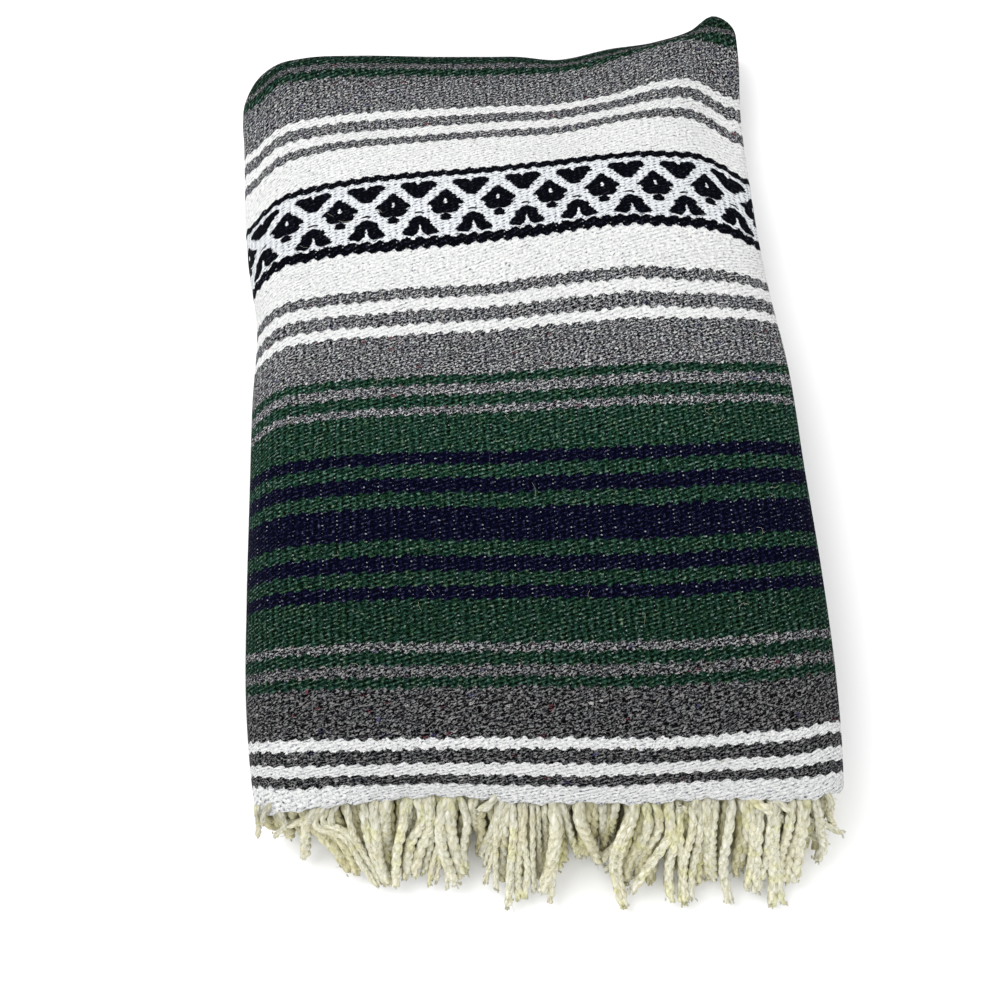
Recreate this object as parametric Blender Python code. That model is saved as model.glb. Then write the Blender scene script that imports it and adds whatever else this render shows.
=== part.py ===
"""A Mexican serape, folded into sixteen layers and lying flat with its fringe towards the viewer.

The blanket is one woven panel, 1.906 m along the warp and 1.28 m across, with a warp fringe at both ends.
It is folded in half twice along its length and then twice across its width. The pile has one big rounded
fold on its left, a smaller fold over eight selvedges on its right, rounded folds at the far end, and the
fringed hems and the folds between them at the near end.

Every piece is first made square and level. A point there is (across, along, up): across from the pile's
middle, along from the near hem line, up from the floor. settle() then moves it to where the real pile
slopes, narrows and rounds off. Metres, +X to the right, +Y to the far end, +Z up.
"""

import math

import bmesh
import bpy
import numpy as np
from mathutils import Vector

COLLECTION = "mexican_serape"

# Driving sizes of the blanket and its folding.
PANEL_LENGTH = 1.906
PANEL_WIDTH = 1.28
LAYERS = 16
CLOTH = 0.003
GAP = 0.0005
PILE_HEIGHT = 0.062
PILE_WIDTH = PANEL_WIDTH / 4
PILE_LENGTH = PANEL_LENGTH / 4 - 0.006
LAYER = PILE_HEIGHT / LAYERS

HALF = PILE_WIDTH / 2
MIDDLE = PILE_HEIGHT / 2
LEFT_FOLD = 0.033           # how far the left fold reaches in from the side
RIGHT_FOLD = 0.024          # and the right one
FAR_FOLD = 0.0085           # and a fold of four layers at the far end
FAR_DEPTH = PILE_HEIGHT / 8 - GAP / 2   # half the thickness of four layers
SELVEDGE = HALF - 0.006     # where the eight selvedges end under the right fold
CORE = CLOTH + GAP          # depth of the hidden layers under the outer cloth

# The pile's plan: its sides, and its height at four places across, at stations along it.
PLAN = {
    "along":        (-0.020, 0.000, 0.022, 0.060, 0.110, 0.170, 0.230,
                     0.280, 0.318, 0.350, 0.380, 0.410, 0.440, 0.470),
    "left":         (-0.1575, -0.1582, -0.1598, -0.1615, -0.1606, -0.1585, -0.1564,
                     -0.1534, -0.1582, -0.1608, -0.1620, -0.1630, -0.1643, -0.1642),
    "right":        (0.1568, 0.1575, 0.1586, 0.1602, 0.1608, 0.1598, 0.1590,
                     0.1545, 0.1534, 0.1545, 0.1562, 0.1582, 0.1610, 0.1618),
    "left_height":  (0.0490, 0.0530, 0.0580, 0.0610, 0.0620, 0.0620, 0.0610,
                     0.0600, 0.0580, 0.0535, 0.0470, 0.0420, 0.0385, 0.0360),
    "mid_height":   (0.0480, 0.0520, 0.0580, 0.0620, 0.0630, 0.0630, 0.0625,
                     0.0620, 0.0595, 0.0535, 0.0460, 0.0390, 0.0335, 0.0300),
    "ridge_height": (0.0490, 0.0530, 0.0590, 0.0620, 0.0620, 0.0620, 0.0620,
                     0.0615, 0.0595, 0.0555, 0.0500, 0.0475, 0.0475, 0.0470),
    "edge_height":  (0.0470, 0.0510, 0.0560, 0.0590, 0.0590, 0.0590, 0.0590,
                     0.0580, 0.0550, 0.0490, 0.0410, 0.0370, 0.0390, 0.0410),
}
HEIGHT_PLACES = (-0.125, 0.025, 0.118, 0.150)

# The near hem line, the far fold line and the far corners' shape, at places across the pile.
ENDS = {
    "across": (-0.160, -0.150, -0.137, -0.118, -0.085, -0.040, 0.000,
               0.020, 0.045, 0.075, 0.105, 0.128, 0.145, 0.160),
    "hem":    (-0.1930, -0.1922, -0.1920, -0.1915, -0.1889, -0.1915, -0.1970,
               -0.1984, -0.1997, -0.2005, -0.2020, -0.2038, -0.2040, -0.2010),
    "far":    (0.2805, 0.2800, 0.2790, 0.2778, 0.2779, 0.2761, 0.2737,
               0.2714, 0.2641, 0.2633, 0.2624, 0.2696, 0.2792, 0.2812),
    "corner": (-0.0255, -0.0140, -0.0055, -0.0005, 0.0, 0.0, 0.0,
               0.0, 0.0, 0.0, 0.0, 0.0005, 0.0045, -0.0012),
}
CORNER_START = 0.86         # the corners' shape grows over the last part of the length

# Soft swells of the top: place, reach and rise.
SWELLS = {
    "across":       (-0.095, 0.060, -0.020, 0.105, -0.120),
    "along":        (0.130, 0.090, 0.300, 0.250, 0.285),
    "half_across":  (0.050, 0.070, 0.060, 0.040, 0.030),
    "half_along":   (0.060, 0.045, 0.040, 0.060, 0.030),
    "rise":         (0.0012, 0.0010, 0.0012, 0.0008, -0.0012),
}

# Stations along the barrel of the pile, and points of the paths round it.
STATIONS = (0.000, 0.012, 0.030, 0.060, 0.110, 0.170, 0.230, 0.275, 0.310, 0.345, 0.380, 0.412, 0.440)
TOP_PLACES = (-0.127, -0.106, -0.085, -0.063, -0.040, 0.005, 0.050, 0.085, 0.106, 0.118, 0.128)
UNDER_PLACES = (0.1441, 0.127, 0.114, 0.100, 0.070, 0.030, -0.020, -0.055, -0.085, -0.106, -0.127)
FLAT_POINTS = 11
BORDER = 0.0045             # the least width of the outermost strip of the underside
FOLD_POINTS = 9
RIGHT_POINTS = 6
FAR_POINTS = 5

# The layers that end at the near end, from the outer cloth's underside to the pile's middle:
# how many layers each edge has, and how far it lies back from the hem.
NEAR_EDGES = {
    "layers": (1, 2, 2, 1, 1),
    "back":   (0.0045, 0.0080, 0.0065, 0.0050, 0.0060),
}
EDGE_FACE = (0.30, 0.70)    # the flat part of an edge, as shares of its thickness
NEAR_GROOVE = 0.0035        # how far the grooves between the edges go in
FAR_BACK = 0.0060           # the inner folds of the far end lie back this far

# The seven hidden selvedges at the lower right, from the top: how far each sticks out.
SELVEDGE_STEPS = (0.0000, -0.0022, 0.0008, -0.0014, 0.0012, -0.0030, -0.0004)
SELVEDGE_GROOVE = 0.0024

# The layered ends narrow inwards, so that no two of their points meet.
END_SLANT = 0.1             # by this share of their depth
STEP_SLANT = 0.1            # the step under the right fold by this share of that
LEVEL_STEP = 0.0003         # and each ring's plain right side lies this much further out

# The fringe. Strands lie in four rows that drape from their hems to the floor, one over another.
STRANDS = 48                # in each row
STRAND_WIDE = 0.0028
STRAND_TIP = 0.0019
STRAND_STEPS = 4
STRIP_DEEP = 0.0030
STRIP_HIGH = 0.0024
DRAPE_REACH = 0.060         # where the drape has come down to the floor
SHORTEST = 0.010
BEND = 0.9                  # how much of its sideways bend a strand has made at its tip
EVEN_TIPS = 0.35            # how much of the locks' gathering the solid strands leave out

# For each row: where its roots start and end, the height of its hem as a share of the pile's, how far it
# lies back from the hem line, how high its tips end, and its share of the locks' reach and sideways bend.
ROWS = {
    "name":       ("fringe_hem_upper", "fringe_hem_lower", "fringe_middle", "fringe_bottom"),
    "first":      (-0.152, -0.126, -0.152, -0.127),
    "last":       (0.153, 0.131, 0.130, 0.150),
    "level":      (0.973, 0.906, 0.500, 0.095),
    "back":       (-0.0005, 0.0038, 0.0026, 0.0036),
    "tip_up":     (0.0122, 0.0088, 0.0054, 0.0020),
    "reach":      (1.00, 0.93, 0.86, 0.80),
    "sway":       (1.00, 0.55, -0.30, 0.35),
    "unevenness": (0.0025, 0.0040, 0.0050, 0.0050),
}
# Two waves over the width that make the strands' lengths uneven.
LENGTH_WAVES = {
    "turns":     (410, 913),
    "row_phase": (2.1, 1.0),
    "share":     (1.0, 0.6),
}
# Locks of the fringe: where a lock leaves the hem, where its tip lies and how far out it reaches.
LOCKS = {
    "root":  (-0.152, -0.145, -0.135, -0.122, -0.107, -0.090, -0.077, -0.060, -0.045,
              -0.035, -0.020, -0.011, 0.006, 0.020, 0.035, 0.050, 0.063,
              0.072, 0.085, 0.094, 0.102, 0.113, 0.130, 0.145, 0.153),
    "tip":   (-0.1600, -0.1530, -0.1380, -0.1010, -0.0935, -0.0850, -0.0770, -0.0605, -0.0495,
              -0.0335, -0.0235, -0.0085, 0.0110, 0.0200, 0.0290, 0.0380, 0.0510,
              0.0680, 0.0865, 0.0950, 0.1030, 0.1125, 0.1315, 0.1490, 0.1590),
    "reach": (0.014, 0.019, 0.028, 0.048, 0.047, 0.046, 0.045, 0.048, 0.044,
              0.050, 0.060, 0.050, 0.037, 0.040, 0.048, 0.058, 0.047,
              0.058, 0.046, 0.057, 0.044, 0.056, 0.048, 0.037, 0.026),
}

COLOURS = {
    "outer_cloth": (0.030, 0.085, 0.062),
    "folded_layers": (0.135, 0.125, 0.130),
    "fringe": (0.690, 0.660, 0.480),
}


def smooth(at, stops, values):
    """The value at a place, on a smooth curve through the values at the stops."""
    stops = np.asarray(stops, float)
    values = np.asarray(values, float)
    at = float(np.clip(at, stops[0], stops[-1]))
    slopes = np.gradient(values, stops)
    i = int(np.clip(np.searchsorted(stops, at) - 1, 0, len(stops) - 2))
    step = stops[i + 1] - stops[i]
    t = (at - stops[i]) / step
    rise = (values[i + 1] - values[i]) * t * t * (3 - 2 * t)
    bends = slopes[i] * t * (1 - t) ** 2 - slopes[i + 1] * t * t * (1 - t)
    return values[i] + rise + step * bends


def ease(t):
    """0 to 1 with a soft start and end."""
    t = min(max(t, 0.0), 1.0)
    return t * t * (3 - 2 * t)


def pile_height(across, along):
    """Height of the pile's top over a place of the level pile."""
    columns = ("left_height", "mid_height", "ridge_height", "edge_height")
    heights = [smooth(along, PLAN["along"], PLAN[name]) for name in columns]
    places = (-HALF,) + HEIGHT_PLACES + (HALF,)
    height = smooth(across, places, [heights[0]] + heights + [heights[-1]])
    for x, y, half_x, half_y, rise in zip(*SWELLS.values()):
        away = ((across - x) / half_x) ** 2 + ((along - y) / half_y) ** 2
        height += rise * math.exp(-away)
    return height


def settle(across, along, up):
    """Where a point of the square, level pile lies in the real one."""
    left = smooth(along, PLAN["along"], PLAN["left"])
    right = smooth(along, PLAN["along"], PLAN["right"])
    hem = smooth(across, ENDS["across"], ENDS["hem"])
    far = smooth(across, ENDS["across"], ENDS["far"])
    share = along / PILE_LENGTH
    corner = smooth(across, ENDS["across"], ENDS["corner"])
    x = left + (right - left) * (across + HALF) / PILE_WIDTH
    y = hem + (far - hem) * share + corner * ease((share - CORNER_START) / (1 - CORNER_START))
    return Vector((x, y, up * pile_height(across, along) / PILE_HEIGHT))


def arc(centre, half_wide, half_high, start, end, count):
    """Points of an ellipse's arc between two angles in degrees."""
    angles = [math.radians(start + (end - start) * i / (count - 1)) for i in range(count)]
    return [(centre[0] + half_wide * math.cos(a), centre[1] + half_high * math.sin(a)) for a in angles]


def spread(start, end, count):
    """Evenly spaced numbers from start to end."""
    return [start + (end - start) * i / (count - 1) for i in range(count)]


def round_left(depth, right_low, right_high):
    """(across, up) from the lower right, along the underside, round the left fold and back along the top."""
    fold = (-HALF + LEFT_FOLD, MIDDLE)
    border = min(right_low - BORDER, UNDER_PLACES[0])
    under = [(x, depth) for x in (right_low, border) + UNDER_PLACES[1:]]
    left = arc(fold, LEFT_FOLD - depth, MIDDLE - depth, 270, 90, FOLD_POINTS)
    over = [(x, PILE_HEIGHT - depth) for x in TOP_PLACES + (right_high,)]
    return under + left[1:-1] + over


def round_right(depth):
    """(across, up) from the top of the right fold to its underside."""
    fold = (HALF - RIGHT_FOLD, MIDDLE + PILE_HEIGHT / 4)
    return arc(fold, RIGHT_FOLD - depth, PILE_HEIGHT / 4 - depth, 90, -90, RIGHT_POINTS)


def outer_path(depth):
    """The open path of the outer cloth round the pile, at a depth under its face."""
    return round_left(depth, SELVEDGE, HALF - RIGHT_FOLD) + round_right(depth)[1:]


def far_fold(depth):
    """(along, depth) over the rounded far fold of four layers, at a depth under its face."""
    middle = (PILE_LENGTH - FAR_FOLD, FAR_DEPTH)
    return arc(middle, FAR_FOLD - depth, FAR_DEPTH - depth, 270, 450, FAR_POINTS)


def mesh_object(name, colour, bm):
    """A closed mesh as a named object with its own material."""
    bmesh.ops.recalc_face_normals(bm, faces=bm.faces)
    if bm.calc_volume(signed=True) < 0:
        bmesh.ops.reverse_faces(bm, faces=bm.faces)
    mesh = bpy.data.meshes.new(name)
    bm.to_mesh(mesh)
    bm.free()
    piece = bpy.data.objects.new(name, mesh)
    bpy.data.collections[COLLECTION].objects.link(piece)
    finish = bpy.data.materials.new(name)
    finish.use_nodes = True
    shader = finish.node_tree.nodes["Principled BSDF"]
    shader.inputs["Base Color"].default_value = (*colour, 1.0)
    shader.inputs["Roughness"].default_value = 0.95
    shader.inputs["Metallic"].default_value = 0.0
    mesh.materials.append(finish)
    return piece


def loft(bm, rings, closed, turn=None):
    """Faces between neighbouring rings of equal length; closed joins each ring's end to its start.

    With turn, every cell is split along the same diagonal. From the ring numbered turn the rings run back
    under the first ones, and there the diagonal is swapped, so that it lies under the one above.
    """
    rows = [[bm.verts.new(point) for point in ring] for ring in rings]
    for k, (row, following) in enumerate(zip(rows, rows[1:])):
        count = len(row) if closed else len(row) - 1
        for i in range(count):
            j = (i + 1) % len(row)
            if turn is None:
                bm.faces.new((row[i], row[j], following[j], following[i]))
            elif k < turn:
                bm.faces.new((row[i], row[j], following[j]))
                bm.faces.new((row[i], following[j], following[i]))
            else:
                bm.faces.new((row[i], row[j], following[i]))
                bm.faces.new((row[j], following[j], following[i]))
    return rows


def make_outer_cloth():
    """The cloth that shows: a wall over the top, round both sides and the far end, and under the pile."""
    face = [(along, 0.0) for along in STATIONS] + far_fold(0.0)
    back = [(along, CLOTH) for along in STATIONS] + far_fold(CLOTH)
    bm = bmesh.new()
    rings = [[settle(x, along, z) for x, z in outer_path(depth)] for along, depth in face + back[::-1]]
    rows = loft(bm, rings, closed=False, turn=len(face))
    for i in range(len(rows[0]) - 1):
        bm.faces.new((rows[-1][i], rows[-1][i + 1], rows[0][i + 1], rows[0][i]))
    for end in (0, -1):
        for i in range(len(face) - 1):
            inner = len(rows) - 1 - i
            bm.faces.new((rows[i][end], rows[i + 1][end], rows[inner - 1][end], rows[inner][end]))
    return mesh_object("outer_cloth", COLOURS["outer_cloth"], bm)


def selvedge_side(depth):
    """(across, up) down the stacked selvedges at the lower right, from the middle to the underside."""
    points = []
    top = MIDDLE - GAP
    count = len(SELVEDGE_STEPS)
    for i, step in enumerate(SELVEDGE_STEPS):
        high = top + (depth - top) * i / count
        low = top + (depth - top) * (i + 1) / count
        out = SELVEDGE - CLOTH + step
        points += [(out - SELVEDGE_GROOVE, high), (out, (high + low) / 2)]
    return points


def core_path(depth):
    """The closed path round the hidden layers along the pile's barrel."""
    inner = HALF - RIGHT_FOLD - GAP
    fold = round_right(depth)[1:]
    notch = [(inner, MIDDLE + depth), (inner, MIDDLE - GAP)]
    start = SELVEDGE - CLOTH - SELVEDGE_GROOVE
    return round_left(depth, start, HALF - RIGHT_FOLD) + fold + notch + selvedge_side(depth)


def end_path(depth):
    """The same path in a layered end of the pile, with plain steps for the right fold and selvedges."""
    slant = END_SLANT * depth
    inner = HALF - RIGHT_FOLD - GAP - slant
    start = SELVEDGE - CLOTH - SELVEDGE_GROOVE - slant
    step = MIDDLE - GAP - slant * STEP_SLANT
    upright = [(inner, z) for z in spread(PILE_HEIGHT - depth, MIDDLE + GAP / 2, RIGHT_POINTS + 1)[1:]]
    low = [(start, z) for z in spread(step, depth, 2 * len(SELVEDGE_STEPS) + 1)[:-1]]
    return round_left(depth, start, inner) + upright + [(inner, step)] + low


def end_ring(along, depth, level):
    """A ring of a layered end. The plain steps at its right stay level."""
    path = end_path(depth)
    layered = len(path) - RIGHT_POINTS - 1 - 2 * len(SELVEDGE_STEPS)
    places = [level] + [along] * (layered - 2) + [level] * (len(path) - layered + 1)
    return [settle(x, y, z) for (x, z), y in zip(path, places)]


def near_cap():
    """(along, depth) of the near edges of the hidden layers, from the middle of the pile outwards."""
    points = []
    depth = LAYER
    for count, back in zip(NEAR_EDGES["layers"], NEAR_EDGES["back"]):
        thick = count * LAYER
        points += [(back, depth + thick * share) for share in EDGE_FACE]
        points.append((back + NEAR_GROOVE, depth + thick))
        depth += thick
    return points[-2::-1]


def far_cap():
    """(along, depth) of the far end of the hidden layers: inside the outer fold, then the inner fold."""
    middle = (PILE_LENGTH - FAR_FOLD - FAR_BACK, (2 * FAR_DEPTH + MIDDLE - 3 * GAP) / 2)
    half = MIDDLE - 4 * GAP - middle[1]
    inner = arc(middle, FAR_FOLD, half, 270, 450, FAR_POINTS)
    return far_fold(CORE) + inner


def close_slit(bm, row):
    """Faces across the narrow slit that the innermost ring of a layered end leaves."""
    count = 2 * FLAT_POINTS + FOLD_POINTS
    for i in range(2, count // 2):
        bm.faces.new((row[i], row[i + 1], row[count - i - 1], row[count - i]))
    step = count + RIGHT_POINTS
    bm.faces.new(row[count - 2:step + 1] + [row[2]])
    bm.faces.new(row[step:] + row[:3])


def make_folded_layers():
    """The hidden layers as one solid: rounded folds, stacked selvedges and layered ends."""
    bm = bmesh.new()
    first = NEAR_EDGES["back"][0] + NEAR_GROOVE
    last = far_fold(CORE)[0][0] - FAR_BACK
    barrel = [first] + [along for along in STATIONS if along > first] + [last]
    near = near_cap()
    far = far_cap()
    centre = MIDDLE - 3 * GAP
    near_level = first - LEVEL_STEP * (len(near) + 1)
    far_level = last + LEVEL_STEP * (len(far) + 2)
    rings = [end_ring(near_level, centre, near_level)]
    rings += [end_ring(*place, near_level + LEVEL_STEP * (i + 1)) for i, place in enumerate(near)]
    rings += [[settle(x, along, z) for x, z in core_path(CORE)] for along in barrel]
    rings += [end_ring(*place, last + LEVEL_STEP * (i + 2)) for i, place in enumerate(far)]
    rings += [end_ring(far_level, centre, far_level)]
    rows = loft(bm, rings, closed=True, turn=len(rings))
    for row in (rows[0], rows[-1]):
        close_slit(bm, row)
    return mesh_object("folded_layers", COLOURS["folded_layers"], bm)


def strand_reach(row, root):
    """How far out of its hem the strand at a root reaches."""
    reach = float(np.interp(root, LOCKS["root"], LOCKS["reach"])) * ROWS["reach"][row]
    for turns, row_phase, share in zip(*LENGTH_WAVES.values()):
        reach += ROWS["unevenness"][row] * share * math.sin(root * turns + row * row_phase)
    return max(reach, SHORTEST)


def strand_ring(row, root, ring):
    """The centre, width and height of a strand where it has gone ring / STRAND_STEPS of its way."""
    share = ring / STRAND_STEPS
    lock_tip = float(np.interp(root, LOCKS["root"], LOCKS["tip"]))
    bend = (lock_tip - root) * (1 - EVEN_TIPS) * ROWS["sway"][row]
    hem = settle(root, ROWS["back"][row], ROWS["level"][row] * PILE_HEIGHT)
    out = STRIP_DEEP + strand_reach(row, root) * share
    drape = (1 + math.cos(math.pi * min(out / DRAPE_REACH, 1.0))) / 2
    tip_up = ROWS["tip_up"][row]
    wide = STRAND_WIDE + (STRAND_TIP - STRAND_WIDE) * share
    centre = Vector((root + bend * ease(share * BEND), hem.y - out, tip_up + (hem.z - tip_up) * drape))
    return centre, wide, STRIP_HIGH * wide / STRAND_WIDE


def strip_edges(roots):
    """Places along a backing strip: its ends and both sides of every root."""
    edges = [roots[0] - STRAND_WIDE]
    for root in roots:
        edges += [root - STRAND_WIDE / 2, root + STRAND_WIDE / 2]
    return edges + [roots[-1] + STRAND_WIDE]


def make_fringe_row(row):
    """A row of strands whose roots are fused into a narrow strip in front of its hem."""
    roots = spread(ROWS["first"][row], ROWS["last"][row], STRANDS)
    bm = bmesh.new()
    rings = []
    for place in strip_edges(roots):
        hem = settle(place, ROWS["back"][row], ROWS["level"][row] * PILE_HEIGHT)
        low = hem.z - STRIP_HIGH / 2
        high = hem.z + STRIP_HIGH / 2
        front = hem.y - STRIP_DEEP
        rings.append([(place, hem.y, low), (place, hem.y, high), (place, front, high), (place, front, low)])
    rows = loft(bm, rings, closed=True)
    for end in (rows[0], rows[-1]):
        bm.faces.new(end)
    # The strip has four faces between two edges. The third one, at the front, carries a strand's root.
    bm.faces.ensure_lookup_table()
    root_faces = [bm.faces[4 * (1 + 2 * i) + 2] for i in range(STRANDS)]
    for ring in range(1, STRAND_STEPS + 1):
        root_faces = bmesh.ops.extrude_discrete_faces(bm, faces=root_faces)["faces"]
        root_faces = sorted(root_faces, key=lambda face: face.calc_center_median().x)
        for face, root in zip(root_faces, roots):
            centre, wide, high = strand_ring(row, root, ring)
            middle = face.calc_center_median()
            for vert in face.verts:
                side = math.copysign(wide / 2, vert.co.x - middle.x)
                rise = math.copysign(high / 2, vert.co.z - middle.z)
                vert.co = centre + Vector((side, 0.0, rise))
    return mesh_object(ROWS["name"][row], COLOURS["fringe"], bm)


def stand_on_origin(pieces):
    """Moves the pieces so that the middle of the underside of their whole box is the origin."""
    points = np.array([vert.co[:] for piece in pieces for vert in piece.data.vertices])
    low, high = points.min(axis=0), points.max(axis=0)
    middle = Vector(((low[0] + high[0]) / 2, (low[1] + high[1]) / 2, low[2]))
    for piece in pieces:
        for vert in piece.data.vertices:
            vert.co -= middle
    return middle


def main():
    for old in list(bpy.data.objects):
        bpy.data.objects.remove(old, do_unlink=True)
    collection = bpy.data.collections.new(COLLECTION)
    bpy.context.scene.collection.children.link(collection)
    pieces = [make_outer_cloth(), make_folded_layers()]
    pieces += [make_fringe_row(row) for row in range(len(ROWS["name"]))]
    middle = stand_on_origin(pieces)
    print("moved by", [round(v, 5) for v in middle])
    for piece in pieces:
        print(piece.name, len(piece.data.polygons))


main()
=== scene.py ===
"""A folded Mexican serape: striped weft-faced cloth, a diamond band, layered folds and a plied warp fringe.

The pile's shape is worked out as the solids' is: a point of a square, level pile (across, along, up) is moved
by settle() to where the real pile slopes, narrows and rounds off. Metres; across to the right, along to the
far folds. A mesh's "Cloth" map holds, in metres, the place across the panel and the place along the warp.
"""

import math
from types import SimpleNamespace

import bpy
import numpy as np
from mathutils import Matrix


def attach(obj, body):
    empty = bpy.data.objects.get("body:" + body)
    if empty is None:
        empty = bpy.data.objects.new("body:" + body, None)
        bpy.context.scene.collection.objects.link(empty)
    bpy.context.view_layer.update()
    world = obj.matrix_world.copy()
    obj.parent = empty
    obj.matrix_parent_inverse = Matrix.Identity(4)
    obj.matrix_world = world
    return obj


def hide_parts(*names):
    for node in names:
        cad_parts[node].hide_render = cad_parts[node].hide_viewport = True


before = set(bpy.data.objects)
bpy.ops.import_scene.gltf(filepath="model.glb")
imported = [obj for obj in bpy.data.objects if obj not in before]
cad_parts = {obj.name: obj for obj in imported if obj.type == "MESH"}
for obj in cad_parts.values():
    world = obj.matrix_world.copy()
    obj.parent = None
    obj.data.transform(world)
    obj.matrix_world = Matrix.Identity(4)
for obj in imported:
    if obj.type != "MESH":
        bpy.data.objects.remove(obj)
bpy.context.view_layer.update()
rng = np.random.default_rng(7)

# The folded pile, as in the solids.
PANEL_LENGTH = 1.906
PANEL_WIDTH = 1.28
LAYERS = 16
CLOTH = 0.003
GAP = 0.0005
PILE_HEIGHT = 0.062
PILE_WIDTH = PANEL_WIDTH / 4
PILE_LENGTH = PANEL_LENGTH / 4 - 0.006
LAYER = PILE_HEIGHT / LAYERS
HALF = PILE_WIDTH / 2
MIDDLE = PILE_HEIGHT / 2
LEFT_FOLD = 0.033
RIGHT_FOLD = 0.024
FAR_FOLD = 0.0085
FAR_DEPTH = PILE_HEIGHT / 8 - GAP / 2
SELVEDGE = HALF - 0.006
CORE = CLOTH + GAP
ORIGIN = np.array((-0.00193, 0.00973, 0.0))

PLAN = {
    "along":        (-0.020, 0.000, 0.022, 0.060, 0.110, 0.170, 0.230,
                     0.280, 0.318, 0.350, 0.380, 0.410, 0.440, 0.470),
    "left":         (-0.1575, -0.1582, -0.1598, -0.1615, -0.1606, -0.1585, -0.1564,
                     -0.1534, -0.1582, -0.1608, -0.1620, -0.1630, -0.1643, -0.1642),
    "right":        (0.1568, 0.1575, 0.1586, 0.1602, 0.1608, 0.1598, 0.1590,
                     0.1545, 0.1534, 0.1545, 0.1562, 0.1582, 0.1610, 0.1618),
    "left_height":  (0.0490, 0.0530, 0.0580, 0.0610, 0.0620, 0.0620, 0.0610,
                     0.0600, 0.0580, 0.0535, 0.0470, 0.0420, 0.0385, 0.0360),
    "mid_height":   (0.0480, 0.0520, 0.0580, 0.0620, 0.0630, 0.0630, 0.0625,
                     0.0620, 0.0595, 0.0535, 0.0460, 0.0390, 0.0335, 0.0300),
    "ridge_height": (0.0490, 0.0530, 0.0590, 0.0620, 0.0620, 0.0620, 0.0620,
                     0.0615, 0.0595, 0.0555, 0.0500, 0.0475, 0.0475, 0.0470),
    "edge_height":  (0.0470, 0.0510, 0.0560, 0.0590, 0.0590, 0.0590, 0.0590,
                     0.0580, 0.0550, 0.0490, 0.0410, 0.0370, 0.0390, 0.0410),
}
HEIGHT_PLACES = (-0.125, 0.025, 0.118, 0.150)
ENDS = {
    "across": (-0.160, -0.150, -0.137, -0.118, -0.085, -0.040, 0.000,
               0.020, 0.045, 0.075, 0.105, 0.128, 0.145, 0.160),
    "hem":    (-0.1930, -0.1922, -0.1920, -0.1915, -0.1889, -0.1915, -0.1970,
               -0.1984, -0.1997, -0.2005, -0.2020, -0.2038, -0.2040, -0.2010),
    "far":    (0.2805, 0.2800, 0.2790, 0.2778, 0.2779, 0.2761, 0.2737,
               0.2714, 0.2641, 0.2633, 0.2624, 0.2696, 0.2792, 0.2812),
    "corner": (-0.0255, -0.0140, -0.0055, -0.0005, 0.0, 0.0, 0.0,
               0.0, 0.0, 0.0, 0.0, 0.0005, 0.0045, -0.0012),
}
CORNER_START = 0.86
SWELLS = {
    "across":       (-0.095, 0.060, -0.020, 0.105, -0.120),
    "along":        (0.130, 0.090, 0.300, 0.250, 0.285),
    "half_across":  (0.050, 0.070, 0.060, 0.040, 0.030),
    "half_along":   (0.060, 0.045, 0.040, 0.060, 0.030),
    "rise":         (0.0012, 0.0010, 0.0012, 0.0008, -0.0012),
}

# Lines of the stripe pattern on the top: their place along the warp, and where they lie at ten places across.
LINE_PLACES = (-0.152, -0.137, -0.110, -0.064, -0.007, 0.048, 0.075, 0.105, 0.128, 0.148)
STRIPE_LINES = {
    0.0116: (-0.1780, -0.1799, -0.1809, -0.1829, -0.1876, -0.1911, -0.1909, -0.1918, -0.1932, -0.1919),
    0.0260: (-0.1680, -0.1697, -0.1707, -0.1728, -0.1768, -0.1806, -0.1814, -0.1817, -0.1823, -0.1790),
    0.0409: (-0.1555, -0.1562, -0.1575, -0.1604, -0.1636, -0.1676, -0.1690, -0.1691, -0.1688, -0.1666),
    0.1550: (-0.0480, -0.0458, -0.0453, -0.0459, -0.0504, -0.0533, -0.0550, -0.0550, -0.0551, -0.0556),
    0.2694: (0.0553, 0.0616, 0.0654, 0.0648, 0.0637, 0.0645, 0.0644, 0.0617, 0.0610, 0.0595),
    0.2984: (0.0828, 0.0892, 0.0931, 0.0935, 0.0924, 0.0961, 0.0963, 0.0931, 0.0903, 0.0860),
    0.3252: (0.1038, 0.1120, 0.1172, 0.1193, 0.1200, 0.1248, 0.1243, 0.1211, 0.1172, 0.1085),
    0.3310: (0.1106, 0.1192, 0.1253, 0.1275, 0.1286, 0.1332, 0.1325, 0.1288, 0.1255, 0.1149),
    0.3782: (0.1474, 0.1586, 0.1675, 0.1724, 0.1745, 0.1766, 0.1762, 0.1739, 0.1709, 0.1563),
    0.3839: (0.1519, 0.1632, 0.1726, 0.1775, 0.1793, 0.1812, 0.1805, 0.1784, 0.1754, 0.1608),
    0.4107: (0.1781, 0.1896, 0.1987, 0.2022, 0.2041, 0.2028, 0.2036, 0.2045, 0.2020, 0.1900),
    0.4252: (0.1935, 0.2049, 0.2116, 0.2148, 0.2164, 0.2145, 0.2141, 0.2172, 0.2175, 0.2079),
    0.4401: (0.2090, 0.2200, 0.2269, 0.2298, 0.2303, 0.2259, 0.2253, 0.2298, 0.2317, 0.2244),
    0.4662: (0.2432, 0.2539, 0.2577, 0.2583, 0.2563, 0.2520, 0.2509, 0.2561, 0.2614, 0.2603),
}

# Beyond the last line: warp passed, at shares of the way to where the far fold is out of sight from above.
# The thin grey stripe there is wide or narrow, by a share that changes across.
FAR_WIDE = (0.0, 0.37, 0.60, 1.0, 4.0)
FAR_NARROW = (0.0, 0.45, 0.54, 1.0, 4.0)
FAR_WARPS = (0.0, 0.0054, 0.0119, 0.0187, 0.0750)
WIDE_PLACES = (-0.150, -0.130, 0.030, 0.062)
WIDE_SHARES = (0.1, 1.0, 1.0, 0.1)

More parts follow.
